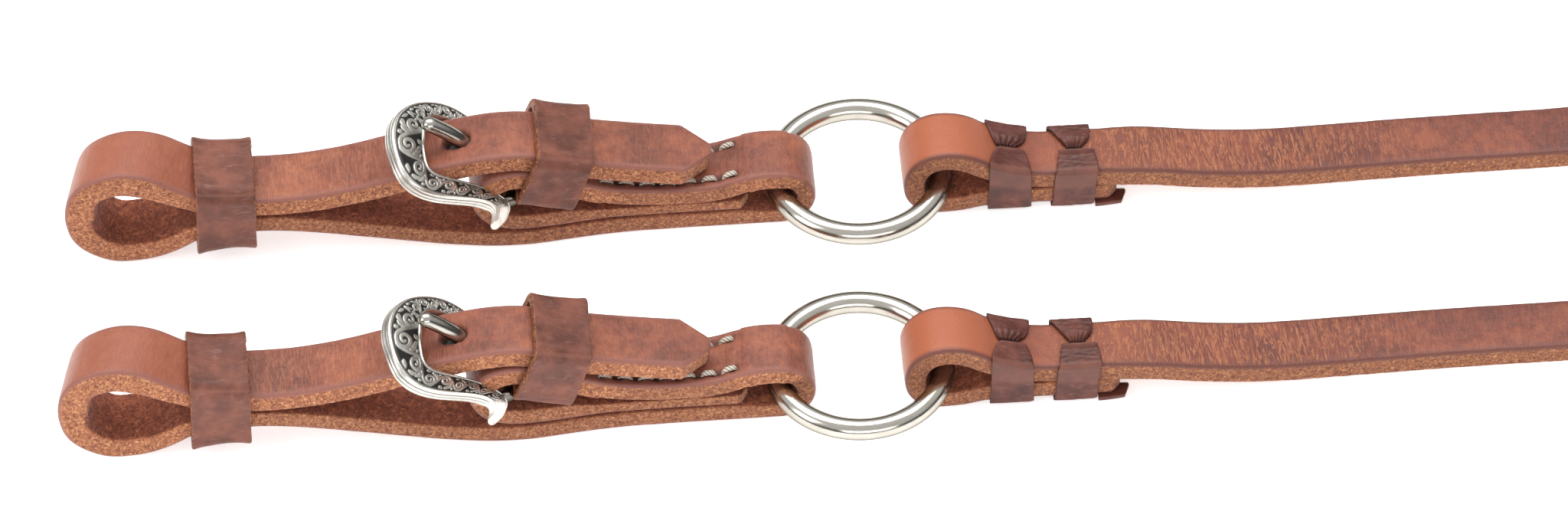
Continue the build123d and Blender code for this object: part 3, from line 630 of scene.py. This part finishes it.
# ---- bit strap -------------------------------------------------------------------------
BIT_ROUTE = [
    (21.8, 6.36), (8, 6.36), (-7, 6.4), (-20, 7.24),
    *half_octagon(BAR_AT[0], BAR_AT[2], 6.98, -1),
    (-25.0, 21.1), (-15.5, 15.6), (-7, 11.6), (4, 10.3), (15, 10.5), (22.1, 13.46),
    *half_octagon(*RING_AXIS, 5.59, 1)[::-1],
    (26.285, 2.38), (-10, 2.38), (-42, 2.38), (-56, 5.1), (-73, 9.0), (-84.5, 10.6), (-97.6, 9.6),
    (-104.5, 4.4), (-111, 2.38), (-117.5, 2.43), (-124.6, 8.5), (-125, 21.3), (-118.5, 26.1),
    (-110.5, 25.8), (-102.6, 20.1), (-96, 17.1), (-85, 15.8), (-73, 16.2), (-60, 18.8),
    (-44, 24.3), (-33, 27.35), (-25.5, 27.05), (-13, 21.45), (0, 18.25), (13.8, 15.95)]
STITCHES = [-9.2 + STITCH_PITCH * k for k in range(7)]
TONGUE_HOLE = (-40.8, 3.0, 2.15)        # middle, half length and half width


def bit_strap_skin():
    """The bit end's one strap: skived at the chape, thicker and wider as the billet, bunched
    inside the bit loop, thinned in the ring fold, with the tongue's hole and stitched channels,
    both sunk and given painted shade, and painted shade on the lower plies' edges."""
    line, grain_way, across_way = side_line(BIT_ROUTE, 0.5)
    run = distance(line)
    x, z = line[:, 0], line[:, 2]
    chape = run < 60
    thick = np.where(chape, 3.0 + 1.76 * smooth(-x, 7, 20), 2 * HALF_THICK)
    narrow = 1 - 0.81 * np.clip((6.3 - (run[-1] - run)) / 6.3, 0, 1)
    narrow = np.where(chape, 1 - 0.35 * (1 - smooth(run, 0, 2.6)) ** 2,
                      narrow * (1.045 + 0.03 * (z > 13)))
    thick = thick * np.where((z > 13) & ~chape & (x > -98), 1.07, 1.0)
    bunch = (1.1 + 0.8 * (z > 14)) * smooth(-x, 99, 112) - 0.45 * smooth(x, 20, 25)
    pull = 0.75 * smooth(-x, 94, 108) * (z > 9) + 0.35 * np.exp(-((x + 52) / 9) ** 2) * (z > 17)
    crease = 0.25 + 0.35 * smooth(-x, 38, 60) * (1 - smooth(-x, 80, 95)) * (z > 14)
    y = PROFILE[None, :, 0]
    top = (PROFILE[:, 4] > 0.5)[None]
    billet = (run > run[-1] - 75)[:, None]
    # the tongue's hole: sunk, and given painted shade through the dark attribute
    hole = np.hypot((x[:, None] - TONGUE_HOLE[0]) / TONGUE_HOLE[1], y / TONGUE_HOLE[2])
    hole = np.where(billet & top, np.clip((1.12 - hole) / 0.3, 0, 1), 0)
    upper = ((run > 75) & (run < 130))[:, None]
    # painted shade in the stitch pits and, fainter, along the stitch channels
    near_end = np.min([np.hypot((x[:, None] - s - e) / 0.85, (np.abs(y) - STITCH_ROW) / 0.7)
                       for s in STITCHES for e in (-1.75, 1.75)], axis=0)
    channel = np.exp(-((np.abs(y) - STITCH_ROW) / 0.7) ** 2) * (np.abs(x[:, None] - 4.3) < 16)
    pits = np.where(upper & top, np.exp(-near_end ** 2), 0)
    channel = np.where(upper & top, channel, 0)
    # painted shade on the lower plies' cut edges, which the upper ply shades
    low = ((z < 12) & (x > -98))[:, None] & (np.abs(y) > 6.0) & (PROFILE[:, 4] < 0.5)[None]
    dark = np.clip(hole + 0.75 * pits + 0.18 * channel + 0.2 * low, 0, 1)
    skin = strap_skin(line, grain_way, across_way, thick, narrow, 3, crease, dark, pull, bunch)
    sink = 2.6 * hole ** 2 + 0.45 * pits + 0.3 * channel
    skin["grid"] = lie(skin["grid"] - grain_way[:, None] * sink[..., None])
    return skin


# ---- keepers ---------------------------------------------------------------------------
def rounded_box(half_y, half_z, radius, count):
    """Points round a rounded rectangle in Y and Z, evenly spaced, with their outward ways."""
    turn = np.linspace(0, 2 * np.pi, 160, endpoint=False)
    out = np.stack([np.cos(turn), np.sin(turn)], 1)
    corner = np.stack([(half_y - radius) * np.sign(out[:, 0] + 1e-9),
                       (half_z - radius) * np.sign(out[:, 1] + 1e-9)], 1)
    loop = corner + radius * out
    loop = even(np.vstack([loop, loop[:1]]),
                np.linalg.norm(np.diff(loop, axis=0), axis=1).sum() / count)[:-1]
    ahead = unit(np.roll(loop, -1, 0) - np.roll(loop, 1, 0))
    return loop, np.stack([ahead[:, 1], -ahead[:, 0]], 1)


def band_skin(half_y, half_z, wall, width, radius, flare, seed, count=260):
    """A leather band round the X axis: a rounded slab section (width by wall) carried round a
    rounded box, its rims curling out by `flare` millimetres."""
    loop, out = rounded_box(half_y - wall / 2, half_z - wall / 2, radius, count)
    half_w, half_t, r = width / 2, wall / 2, min(0.5, wall * 0.35)
    flat = np.linspace(-half_w + r, half_w - r, 15)
    bend = np.radians(np.linspace(0, 90, 5))
    top = [(x, half_t) for x in flat]
    right = [(half_w - r + r * np.sin(b), half_t - r + r * np.cos(b)) for b in bend[1:]]
    under = [(x, -half_t) for x in flat[::-1]]
    section = np.array(top + right + [(x, -t) for x, t in right[::-1]] + under
                       + [(-x, -t) for x, t in right] + [(-x, t) for x, t in right[::-1]])
    w, t = section[None, :, 0], section[None, :, 1]
    around = np.linspace(0, 1, len(loop), endpoint=False)[:, None]
    u = around * 60
    edge = smooth(np.abs(w), half_w * 0.45, half_w)
    t = t + flare * edge ** 2 + 0.10 * ripple(u, w, 7, seed)
    w = w + 0.16 * np.sign(w) * edge * ripple(u, 0 * w, 11, seed + 1)
    grid = np.stack([np.broadcast_to(w, t.shape), loop[:, None, 0] + out[:, None, 0] * t,
                     loop[:, None, 1] + out[:, None, 1] * t], -1)
    cut = np.broadcast_to((np.abs(section[:, 0]) > half_w - 0.6 * r)[None] * 1.0, t.shape)
    bend_y = np.abs(loop[:, 0]) / half_y > 0.8
    bend_z = np.abs(loop[:, 1]) / half_z > 0.8
    worn = np.broadcast_to((bend_y & bend_z)[:, None] * 0.25, t.shape)
    perimeter = np.linspace(0, 60, len(loop) + 1)
    return tube(grid, perimeter, np.arange(len(section) + 1.0), ring=True, cut=cut, worn=worn,
                dark=0.0)


def tilted(points, middle, degrees):
    """Turned about the Y axis, its right side down by some degrees, and put in place."""
    a = np.radians(degrees)
    x, y, z = np.moveaxis(points, -1, 0)
    return np.stack([middle[0] + x * np.cos(a) + z * np.sin(a), middle[1] + y,
                     middle[2] - x * np.sin(a) + z * np.cos(a)], -1)


def bit_keeper_skin():
    """The slack keeper: a little taller toward the bit than toward the buckle."""
    skin = band_skin(9.2, 9.95, 2.3, 13.0, 2.2, 0.3, 21)
    skin["grid"][..., 2] *= 0.945 + 0.11 * ((6.1 - skin["grid"][..., 0]) / 12.2) ** 2
    skin["grid"] = tilted(skin["grid"], (-92.1, -0.1, 13.2), 0)
    return skin


def billet_keeper_skin():
    """The keeper behind the buckle, sloped with the billet it holds."""
    skin = band_skin(9.5, 8.2, 2.1, 13.0, 1.9, 0.25, 27)
    skin["grid"] = lie(tilted(skin["grid"], (-20.6, 0, 21.2), 19))
    return skin


# ---- buckle ----------------------------------------------------------------------------
TILT = np.radians(36)
HORN = [  # inner edge, outer edge (each along, across) and drop, from the horn's tip to the arm
    (0.7, 9.7, 2.7, 10.5, 4.0), (0.5, 9.2, 3.2, 10.2, 3.3), (0.5, 8.2, 3.6, 9.6, 2.1),
    (0.7, 7.2, 4.3, 9.0, 0.8), (1.8, 6.4, 5.6, 8.7, 0.1)]
FRONT_ARM = HORN + [
    (4.6, 5.6, 7.4, 8.7, 0), (8.2, 5.4, 10.2, 9.3, 0), (12.4, 5.8, 14.2, 10.7, 0),
    (17.4, 6.7, 18.9, 12.3, 0), (20.9, 7.3, 22.5, 13.0, 0), (22.9, 6.7, 26.0, 12.9, 0),
    (23.7, 5.0, 28.7, 11.7, 0), (23.9, 3.3, 30.8, 9.3, 0), (24.0, 1.6, 32.4, 5.3, 0),
    (24.0, 0, 33.1, 0.6, 0)]
REAR_ARM = HORN + [
    (4.6, 5.8, 6.9, 9.2, 0), (8.0, 6.7, 9.4, 10.6, 0), (11.5, 7.9, 12.4, 11.9, 0),
    (15.5, 8.7, 16.2, 12.8, 0), (19.3, 8.8, 20.0, 12.5, 0), (22.0, 8.0, 23.8, 11.2, 0),
    (23.6, 6.7, 27.0, 9.5, 0), (24.2, 5.0, 29.8, 7.1, 0), (24.1, 2.6, 32.0, 4.0, 0)]
ROLL = 0.11                             # the frame lies rolled, its front arm the lower one


def frame_edges(rows):
    """Inner edge, outer edge and drop of the whole frame, evenly along the middle between them."""
    whole = np.vstack([np.array(FRONT_ARM) * np.array([1, -1, 1, -1, 1]), REAR_ARM[::-1]])
    line = eased(whole, 0.05)
    middle = np.column_stack([(line[:, :2] + line[:, 2:4]) / 2, line[:, 4]])
    run = distance(middle)
    at = np.linspace(0, run[-1], rows)
    return np.stack([np.interp(at, run, line[:, k]) for k in range(5)], 1), at


def spiral(middle_u, middle_v, radius, turns, start, hand):
    """A stroke that winds inward, its radius falling evenly from `radius` to a fifth of it."""
    t = np.linspace(0, 1, 60)
    angle = start + hand * 2 * np.pi * turns * t
    r = radius * (1 - 0.82 * t)
    return np.stack([middle_u + r * np.cos(angle), middle_v + r * np.sin(angle),
                     0.098 - 0.05 * t], 1)


def petal(u, v, way, length, bend, fat):
    """A leaf: a short bent stroke, fat in its first half and pointed at its tip."""
    t = np.linspace(0, 1, 24)
    angle = way + bend * t
    step = length / 24
    return np.stack([u + np.cumsum(np.cos(angle)) * step, v + np.cumsum(np.sin(angle)) * step,
                     fat * np.sqrt(np.clip(1 - t, 0, 1)) * np.clip(0.55 + 2 * t, 0, 1)], 1)


def scroll_strokes(reach):
    """The vine's strokes as rows of along, across and half stroke width, for one half of the frame:
    a spiral every 1.0, turned up and down by turns, its stem, and four leaves round each spiral."""
    strokes = [petal(0.0, 0.44, -1.5, 0.46, 0.5, 0.10), petal(-0.02, -0.46, 1.2, 0.42, 0.7, 0.11),
               petal(0.14, -0.12, 0.2, 0.12, 0.0, 0.07)]
    for k in range(int(reach) + 1):
        hand, u = (1, -1)[k % 2], 0.52 + 1.0 * k
        v = -0.10 * hand
        strokes.append(spiral(u, v, 0.36, 1.35, -hand * np.pi / 2, hand))
        strokes.append(petal(u - 0.30, 0.40 * hand, 0.4 * hand, 0.42, 1.5 * hand, 0.125))
        strokes.append(petal(u + 0.06, 0.44 * hand, -0.2 * hand, 0.40, -1.2 * hand, 0.115))
        strokes.append(petal(u + 0.42, 0.06 * hand, 1.2 * hand, 0.40, 1.3 * hand, 0.11))
        strokes.append(petal(u - 0.42, -0.38 * hand, -1.9 * hand, 0.16, 0.8 * hand, 0.09))
        t = np.linspace(0, 1, 40)
        strokes.append(np.stack([u + 0.05 + 0.9 * t, -0.44 * hand * np.cos(np.pi * t),
                                 0.068 + 0 * t], 1))
    return strokes


def scroll_ink(run, across, width):
    """0 on the silver scrolls and 1 on the black ground: 0 where the distance to a stroke's line is
    less than its half width. Places are the run over the local width, and mirror about the nose."""
    step = np.r_[0, np.cumsum(np.diff(run) / ((width[1:] + width[:-1]) / 2))]
    along = np.abs(step - step[-1] / 2)
    depth = np.full(across.shape, -1.0)
    for stroke in scroll_strokes(along.max()):
        low, high = stroke[:, 0].min() - 0.15, stroke[:, 0].max() + 0.15
        rows = np.flatnonzero((along > low) & (along < high))
        if len(rows):
            u = np.broadcast_to(along[rows, None, None], (len(rows), across.shape[1], 1))
            gap = np.hypot(u - stroke[:, 0], across[rows][..., None] - stroke[:, 1])
            depth[rows] = np.maximum(depth[rows], (stroke[:, 2] - gap).max(-1))
    return 1 - np.clip(0.5 + depth / 0.05, 0, 1)


def frame_skin():
    """The frame's section carried round it, from the tip of one horn to the tip of the other: a low
    crowned face engraved between two polished beads, a black groove inside the outer bead, and a
    stepped wall 2.7 mm high. At the bar the arms narrow and curl out and down into horns."""
    edges, run = frame_edges(760)
    inner, outer, drop = edges[:, :2], edges[:, 2:4], edges[:, 4:]
    width = np.linalg.norm(outer - inner, axis=1)
    field = np.linspace(0.125, 0.82, 50)
    crown = 0.30 + 0.22 * (1 - (2 * (field - 0.125) / 0.695 - 1) ** 2)
    top = [(0.0, -0.5, 0), (0.0, 0.1, 0), (0.02, 0.42, 0), (0.055, 0.55, 0), (0.09, 0.45, 0),
           (0.11, 0.2, 1)]
    top += [(a, b, 2) for a, b in zip(field, crown)]
    top += [(0.84, 0.1, 1), (0.86, 0.05, 1), (0.88, 0.12, 1), (0.90, 0.3, 0), (0.935, 0.38, 0),
            (0.97, 0.25, 0), (0.995, -0.1, 0), (1.005, -0.5, 0), (0.99, -0.72, 1),
            (1.015, -0.95, 0), (1.02, -1.45, 0), (1.0, -1.58, 1), (1.02, -1.72, 0),
            (1.015, -2.2, 0), (0.99, -2.5, 0), (0.93, -2.7, 0), (0.8, -2.75, 0), (0.5, -2.7, 0),
            (0.2, -2.5, 0), (0.08, -2.35, 0), (0.02, -2.0, 0), (0.0, -1.2, 0)]
    s, h, kind = (np.broadcast_to(c[None], (len(run), len(top))).copy() for c in np.array(top).T)
    ends = smooth(np.minimum(run, run[-1] - run), 3.5, 7.0)[:, None]
    ink = np.where(kind == 2, scroll_ink(run, (s - 0.4725) / 0.695, width * 0.695), 0.0)
    ink = np.clip(ink * ends + 0.9 * ends * (kind == 1), 0, 1)
    tip = np.clip(1 - np.minimum(run, run[-1] - run) / 1.6, 0, 1)[:, None]
    shrink = np.sqrt(np.clip(1 - tip ** 2, 0.02, 1))
    s = 0.5 + (s - 0.5) * shrink
    h = (h * (0.72 + 0.28 * ends) + 1.0) * shrink - 1.0 - 0.16 * ink * (kind == 2) - drop
    plan = inner[:, None] + (outer - inner)[:, None] * s[..., None]
    p, q = plan[..., 0], plan[..., 1]
    h = h + 0.675 + ROLL * q
    x = BAR_AT[0] - p * np.cos(TILT) + h * np.sin(TILT)
    z = BAR_AT[2] + p * np.sin(TILT) + h * np.cos(TILT)
    return tube(np.stack([x, q, z], -1), np.r_[run, run[-1] + 1], np.arange(len(top) + 1.0),
                ink=ink)


def tongue_skins():
    """A round bar up the slope, arched 1.1 mm, with a blunt rounded end that lies on the nose, and
    the eye that closes round the buckle bar."""
    slope = np.radians(46.5)
    root, tip, tip_radius = 2.6, 26.2, 1.7
    at = np.r_[np.linspace(root, tip, 60),
               tip + tip_radius * np.sin(np.radians(np.linspace(8, 90, 10)))]
    radius = np.r_[np.interp(at[:60], [root, 6, 18, tip], [1.5, 1.55, 1.78, tip_radius]),
                   tip_radius * np.cos(np.radians(np.linspace(8, 89, 10)))]
    arch = 1.1 * np.sin(np.clip(at / 27.5, 0, 1) ** 1.6 * np.pi)
    turn = np.linspace(0, 2 * np.pi, 28, endpoint=False)
    below = np.array([-np.sin(slope), 0, -np.cos(slope)])
    along = np.array([-np.cos(slope), 0, np.sin(slope)])
    middle = BAR_AT + at[:, None] * along - arch[:, None] * below
    grid = middle[:, None] + radius[:, None, None] * (
        np.cos(turn)[None, :, None] * below + np.sin(turn)[None, :, None] * np.array([0, 1.0, 0]))
    ring = np.linspace(0, 2 * np.pi, 48, endpoint=False)
    small = np.linspace(0, 2 * np.pi, 16, endpoint=False)
    r = 2.65 + 0.9 * np.cos(small)
    y = 1.55 * np.sin(small)
    eye = np.stack([BAR_AT[0] + r[None] * np.cos(ring)[:, None],
                    np.broadcast_to(y[None], (48, 16)),
                    BAR_AT[2] + r[None] * np.sin(ring)[:, None]], -1)
    return [tube(grid), tube(eye, np.arange(49.0), ring=True)]


def bar_skin():
    """The bar's round wire, its ends rounded and bent 1.6 mm toward the nose into the arms."""
    y = np.linspace(-9.7, 7.3, 60)
    bent = 1.6 * (1 - smooth(y, -9.7, -6.0) + smooth(y, 3.4, 7.3))
    turn = np.linspace(0, 2 * np.pi, 24, endpoint=False)
    past = np.clip((np.abs(y + 1.2) - 8.0) / 0.5, 0, 0.99)
    radius = BAR_RADIUS * np.sqrt(np.clip(1 - past ** 2, 0.05, 1))
    x = BAR_AT[0] - bent[:, None] * np.cos(TILT) + radius[:, None] * np.cos(turn)
    z = BAR_AT[2] + bent[:, None] * np.sin(TILT) + radius[:, None] * np.sin(turn)
    return tube(np.stack([x, np.broadcast_to(y[:, None], x.shape), z], -1))


# ---- stitching -------------------------------------------------------------------------
def stitch_skins(line):
    """Each stitch: a thread 1.2 mm thick that rises out of one hole, lies along the channel and
    dives into the next: height = an arch that falls with the 3.4th power of the way out."""
    top = line[151:262]
    top = top[np.argsort(top[:, 0])]
    skins = []
    t = np.linspace(-1, 1, 17)
    turn = np.linspace(0, 2 * np.pi, 12, endpoint=False)
    for k, x0 in enumerate(STITCHES):
        for side in (-1, 1):
            x = x0 + 1.7 * t
            z = np.interp(x, top[:, 0], top[:, 2]) + HALF_THICK + 0.3 - 1.0 * np.abs(t) ** 3.4
            y = side * STITCH_ROW + 0.12 * np.sin(2.1 * k + side) + 0.12 * t * np.cos(3.3 * k)
            r = 0.64 * (1 - 0.4 * t ** 4)
            across = y[:, None] + r[:, None] * np.cos(turn)
            grid = np.stack([np.broadcast_to(x[:, None], across.shape), across,
                             z[:, None] + 0.85 * r[:, None] * np.sin(turn)], -1)
            skins.append(tube(lie(grid), np.r_[x - x[0], 4.2], np.linspace(0, 3.2, 13)))
    return skins


# ---- ring and rein end -----------------------------------------------------------------
def ring_skin():
    """A torus: wire of 3/16 in bent to 1-1/4 in inside."""
    big = np.linspace(0, 2 * np.pi, 240, endpoint=False)[:, None]
    small = np.linspace(0, 2 * np.pi, 40, endpoint=False)[None]
    r = np.broadcast_to(RING_RADIUS + WIRE_RADIUS * np.cos(small), (240, 40))
    grid = np.stack([RING_AT[0] + r * np.cos(big), r * np.sin(big),
                     np.broadcast_to(RING_AT[2] + WIRE_RADIUS * np.sin(small), (240, 40))], -1)
    return tube(grid, np.arange(241.0), ring=True)


REIN_FOLD_ROUTE = [
    (102.5, 3.53), (88, 3.48), (74, 3.58), (67, 2.38), (60.97, 2.38), (57.97, 5.78),
    (57.87, 11.98), (61.77, 16.38), (68.6, 16.1), (74.7, 11.5), (83.2, 8.75), (90.2, 8.34),
    (94.2, 8.34)]


def rein_end_skin():
    """The rein's fold round the ring: pointed at its short end, pale where it is bent."""
    line, grain_way, across_way = side_line(REIN_FOLD_ROUTE, 0.5)
    run = distance(line)
    narrow = 1 - 0.3 * (1 - smooth(run, 0, 3)) ** 2
    crease = 0.9 * smooth(run, 80, 92)
    narrow = narrow * (1 + 0.04 * (1 - smooth(line[:, 0], 68, 74)))
    pull = 0.95 * smooth(run, 30, 40) * (1 - 0.65 * smooth(run, 62, 80))
    return strap_skin(line, grain_way, across_way, narrow=narrow, seed=7, crease=crease, pull=pull)


LACES = {  # top side: across, left edge, right edge; the under side likewise; lowest height
    "front": ([(-7.2, 74.5, 83.5), (-4.8, 74.7, 83.4), (-2.4, 75.6, 83.0), (-0.95, 76.8, 82.3),
               (-0.6, 76.9, 81.8), (-0.45, 76.7, 80.2), (0.3, 76.2, 80.6), (1.6, 75.8, 82.2),
               (2.9, 75.3, 83.1), (5.3, 74.7, 83.5), (7.2, 74.3, 83.6)],
              [(-7.2, 74.1, 83.6), (7.2, 74.4, 83.4)], 0.8),
    "rear": ([(-7.2, 89.2, 98.3), (-5.5, 89.2, 98.3), (-2.6, 89.6, 98.1), (-0.9, 90.0, 97.6),
              (-0.55, 90.6, 97.0), (-0.35, 92.0, 94.9), (0.5, 91.7, 95.2), (1.8, 90.9, 96.4),
              (3.1, 90.2, 97.0), (5.3, 88.9, 97.3), (7.2, 87.8, 97.1)],
             [(-7.2, 87.9, 96.9), (7.2, 88.1, 97.2)], 0.55)}


def lace_skin(which, line, seed):
    """A lace round both plies, its path a rounded box in Y and Z and its two edges given by LACES.
    The band comes up the front and ends in a rolled lip over the pinch; behind it the rest is drawn
    together in pleats and fans out to the rear edge as the tab. The hollow at the pinch and the
    pleats' valleys get painted shade; the top of the front edge's bend and the lip get a painted
    highlight."""
    top_keys, under_keys, low = LACES[which]
    ply_top = line[(line[:, 2] > 7.0) & (line[:, 0] > 60)]
    ply_top = ply_top[np.argsort(ply_top[:, 0])]
    loop, out = rounded_box(6.88, 1.0, 0.9, 460)
    y, level, rise = loop[:, 0], loop[:, 1], out[:, 1]
    pinch = -0.45
    share = smooth(level, -1, 1)
    over, under = np.array(top_keys).T, np.array(under_keys).T
    left, right = (np.interp(y, over[0], over[k]) * share
                   + np.interp(y, under[0], under[k]) * (1 - share) for k in (1, 2))
    w = np.r_[np.linspace(-1, 1, 41), 1.0, np.linspace(1, -1, 11), -1.0]
    face = np.r_[np.ones(41), 0, -np.ones(11), 0]
    half = (right - left) / 2 + 0.07 * ripple(y, 0 * y, 3, seed)
    x = ((left + right) / 2)[:, None] + half[:, None] * w
    up = (level > 0)[:, None]
    tab = smooth(y, pinch - 0.1, pinch + 0.3)[:, None]
    gather = np.exp(-((y[:, None] - pinch) / 2.3) ** 2)
    pleats = np.cos(w * np.pi * 5 + 0.7 * seed) * 0.28 * gather * tab
    lip = 0.8 * np.exp(-((y[:, None] - (pinch - 0.85)) / 0.75) ** 2)
    lip = lip * (1 - tab) * (1 - 0.35 * w ** 4)
    # the hollow behind the lip is sunk and given painted shade
    hollow = np.exp(-((y[:, None] - (pinch + 0.1)) / 0.45) ** 2)
    swell = tab * 0.55 * np.exp(-((y[:, None] - 2.6) / 1.8) ** 2) * (1 - w ** 2)
    lift = np.where(up, pleats * np.clip(face, 0, 1) + lip - 0.35 * hollow + swell, 0)
    lift = lift * np.abs(rise)[:, None]
    sheet = 0.43 * face * (1 - 0.35 * np.abs(w) ** 10) + 0.05 * ripple(y[:, None] * 2, x, 3.0, seed)
    high = np.interp(x, ply_top[:, 0], ply_top[:, 2]) + HALF_THICK / np.cos(0.25) + 0.5
    blend = smooth(level, -0.35, 0.35)[:, None]
    z = (low + (level + 1.0))[:, None] * (1 - blend) + (high - (1.0 - level)[:, None]) * blend
    grid = np.stack([x, y[:, None] + out[:, None, 0] * sheet, z + rise[:, None] * sheet + lift], -1)
    # painted shade in the valleys between the pleats
    folds = np.clip(-np.cos(w * np.pi * 5 + 0.7 * seed), 0, 1) * 0.55 * gather * tab
    # painted highlight along the top of the front edge's bend and on the rolled lip
    worn = np.exp(-((y + 6.5) / 0.6) ** 2)[:, None] * 0.45 + 0.35 * lip
    shape = sheet.shape
    return tube(grid, np.linspace(0, 40, len(y) + 1), np.arange(len(w) + 1.0), ring=True,
                cut=np.broadcast_to(np.abs(w) > 0.99, shape) * 1.0,
                worn=np.broadcast_to(worn * up, shape),
                dark=np.broadcast_to(np.where(up, np.clip(0.75 * hollow + folds, 0, 1), 0), shape))


def tail_skin():
    """The rear lace's loose end: a flat tongue 4.3 mm wide, lying out to the right."""
    t = np.linspace(0, 1, 30)
    w = np.linspace(-1, 1, 13)
    section = np.array([(a, 0.46) for a in w] + [(a, -0.46) for a in w[::-1]])
    half = 2.15 * (1 - 0.12 * t) * np.clip((1.02 - t) / 0.04, 0.75, 1)
    x = 97.6 + 6.4 * t[:, None] + 0.5 * section[None, :, 0] * t[:, None]
    y = -5.1 - 0.1 * t[:, None] + half[:, None] * section[None, :, 0]
    z = 0.55 + 0.25 * t[:, None] ** 2 * (1 - section[None, :, 0]) + section[None, :, 1]
    return tube(np.stack([x, y, z], -1), cut=0.0, dark=0.0, worn=0.1)


# ---- both reins --------------------------------------------------------------------------
bit_skin = bit_strap_skin()
bit_line = side_line(BIT_ROUTE, 0.5)[0]
rein_line_end = side_line(REIN_FOLD_ROUTE, 0.5)[0]
FRAME_BOW, TONGUE_BOW = (0, -2.9), (0, -1.595)      # the buckle sits to the front of the bar


def moved(skins, shift):
    """Copies of skins, moved along X and Y."""
    by = np.array([shift[0], shift[1], 0])
    return [{**skin, "grid": skin["grid"] + by} for skin in skins]


# name, skins, material, body, slot and the nodes it stands for
PIECES = [
    ("bit_strap_leather", [bit_skin], BIT_LEATHER, "bit_end", "bit_leather", ["bit_strap"]),
    ("bit_keeper_band", [bit_keeper_skin()], KEEPER_LEATHER, "bit_keeper", "keeper_leather",
     ["bit_keeper"]),
    ("billet_keeper_band", [billet_keeper_skin()], KEEPER_LEATHER, "bit_end", "keeper_leather",
     ["billet_keeper"]),
    ("buckle_frame_engraved", moved([frame_skin()], FRAME_BOW), SILVER, "buckle_frame",
     "buckle_silver", ["buckle_frame"]),
    ("buckle_tongue_bar", moved(tongue_skins(), TONGUE_BOW), TONGUE_METAL, "buckle_tongue",
     "buckle_steel", ["buckle_tongue"]),
    ("buckle_bar_wire", [bar_skin()], BAR_METAL_PAINTED_SHADE, "bit_end", "buckle_steel", ["buckle_bar"]),
    ("chape_thread", stitch_skins(bit_line), THREAD, "bit_end", "thread", ["chape_stitching"]),
    ("ring_wire", [ring_skin()], RING_METAL, "ring", "ring_steel", ["ring"]),
    ("rein_end_fold", [rein_end_skin()], REIN_LEATHER, "reins", "rein_leather", ["rein_end_loop"]),
    ("lace_front_band", [lace_skin("front", rein_line_end, 31)], LACE_LEATHER, "reins",
     "lace_leather", ["lace_front"]),
    ("lace_rear_band", [lace_skin("rear", rein_line_end, 37), tail_skin()], LACE_LEATHER, "reins",
     "lace_leather", ["lace_rear"]),
]
for rein, (shift, side) in REINS.items():
    for name, skins, material, body, slot, nodes in PIECES:
        body_name = "reins" if body == "reins" else f"{rein}_{body}"
        build(f"{rein}_{name}", moved(skins, shift), material, body_name,
              [f"{rein}_{n}" for n in nodes])

# ---- ties round the hanks -----------------------------------------------------------------
tie_skins = []
for side in (-1, 1):
    tie = band_skin(13.1, TIE_MIDDLE, 1.2, 9.0, 1.6, 0.0, 41 + side, 300)
    x, y, z = np.moveaxis(tie["grid"], -1, 0)
    tie["grid"] = np.stack([x + TIE_X, y + HANK_Y + side * TIE_OUT,
                            np.clip(z + TIE_MIDDLE, 0.02, 28.28)], -1)
    tie_skins.append(tie)
build("hank_tie_bands", tie_skins, LACE_LEATHER, "reins", ["hank_ties"])
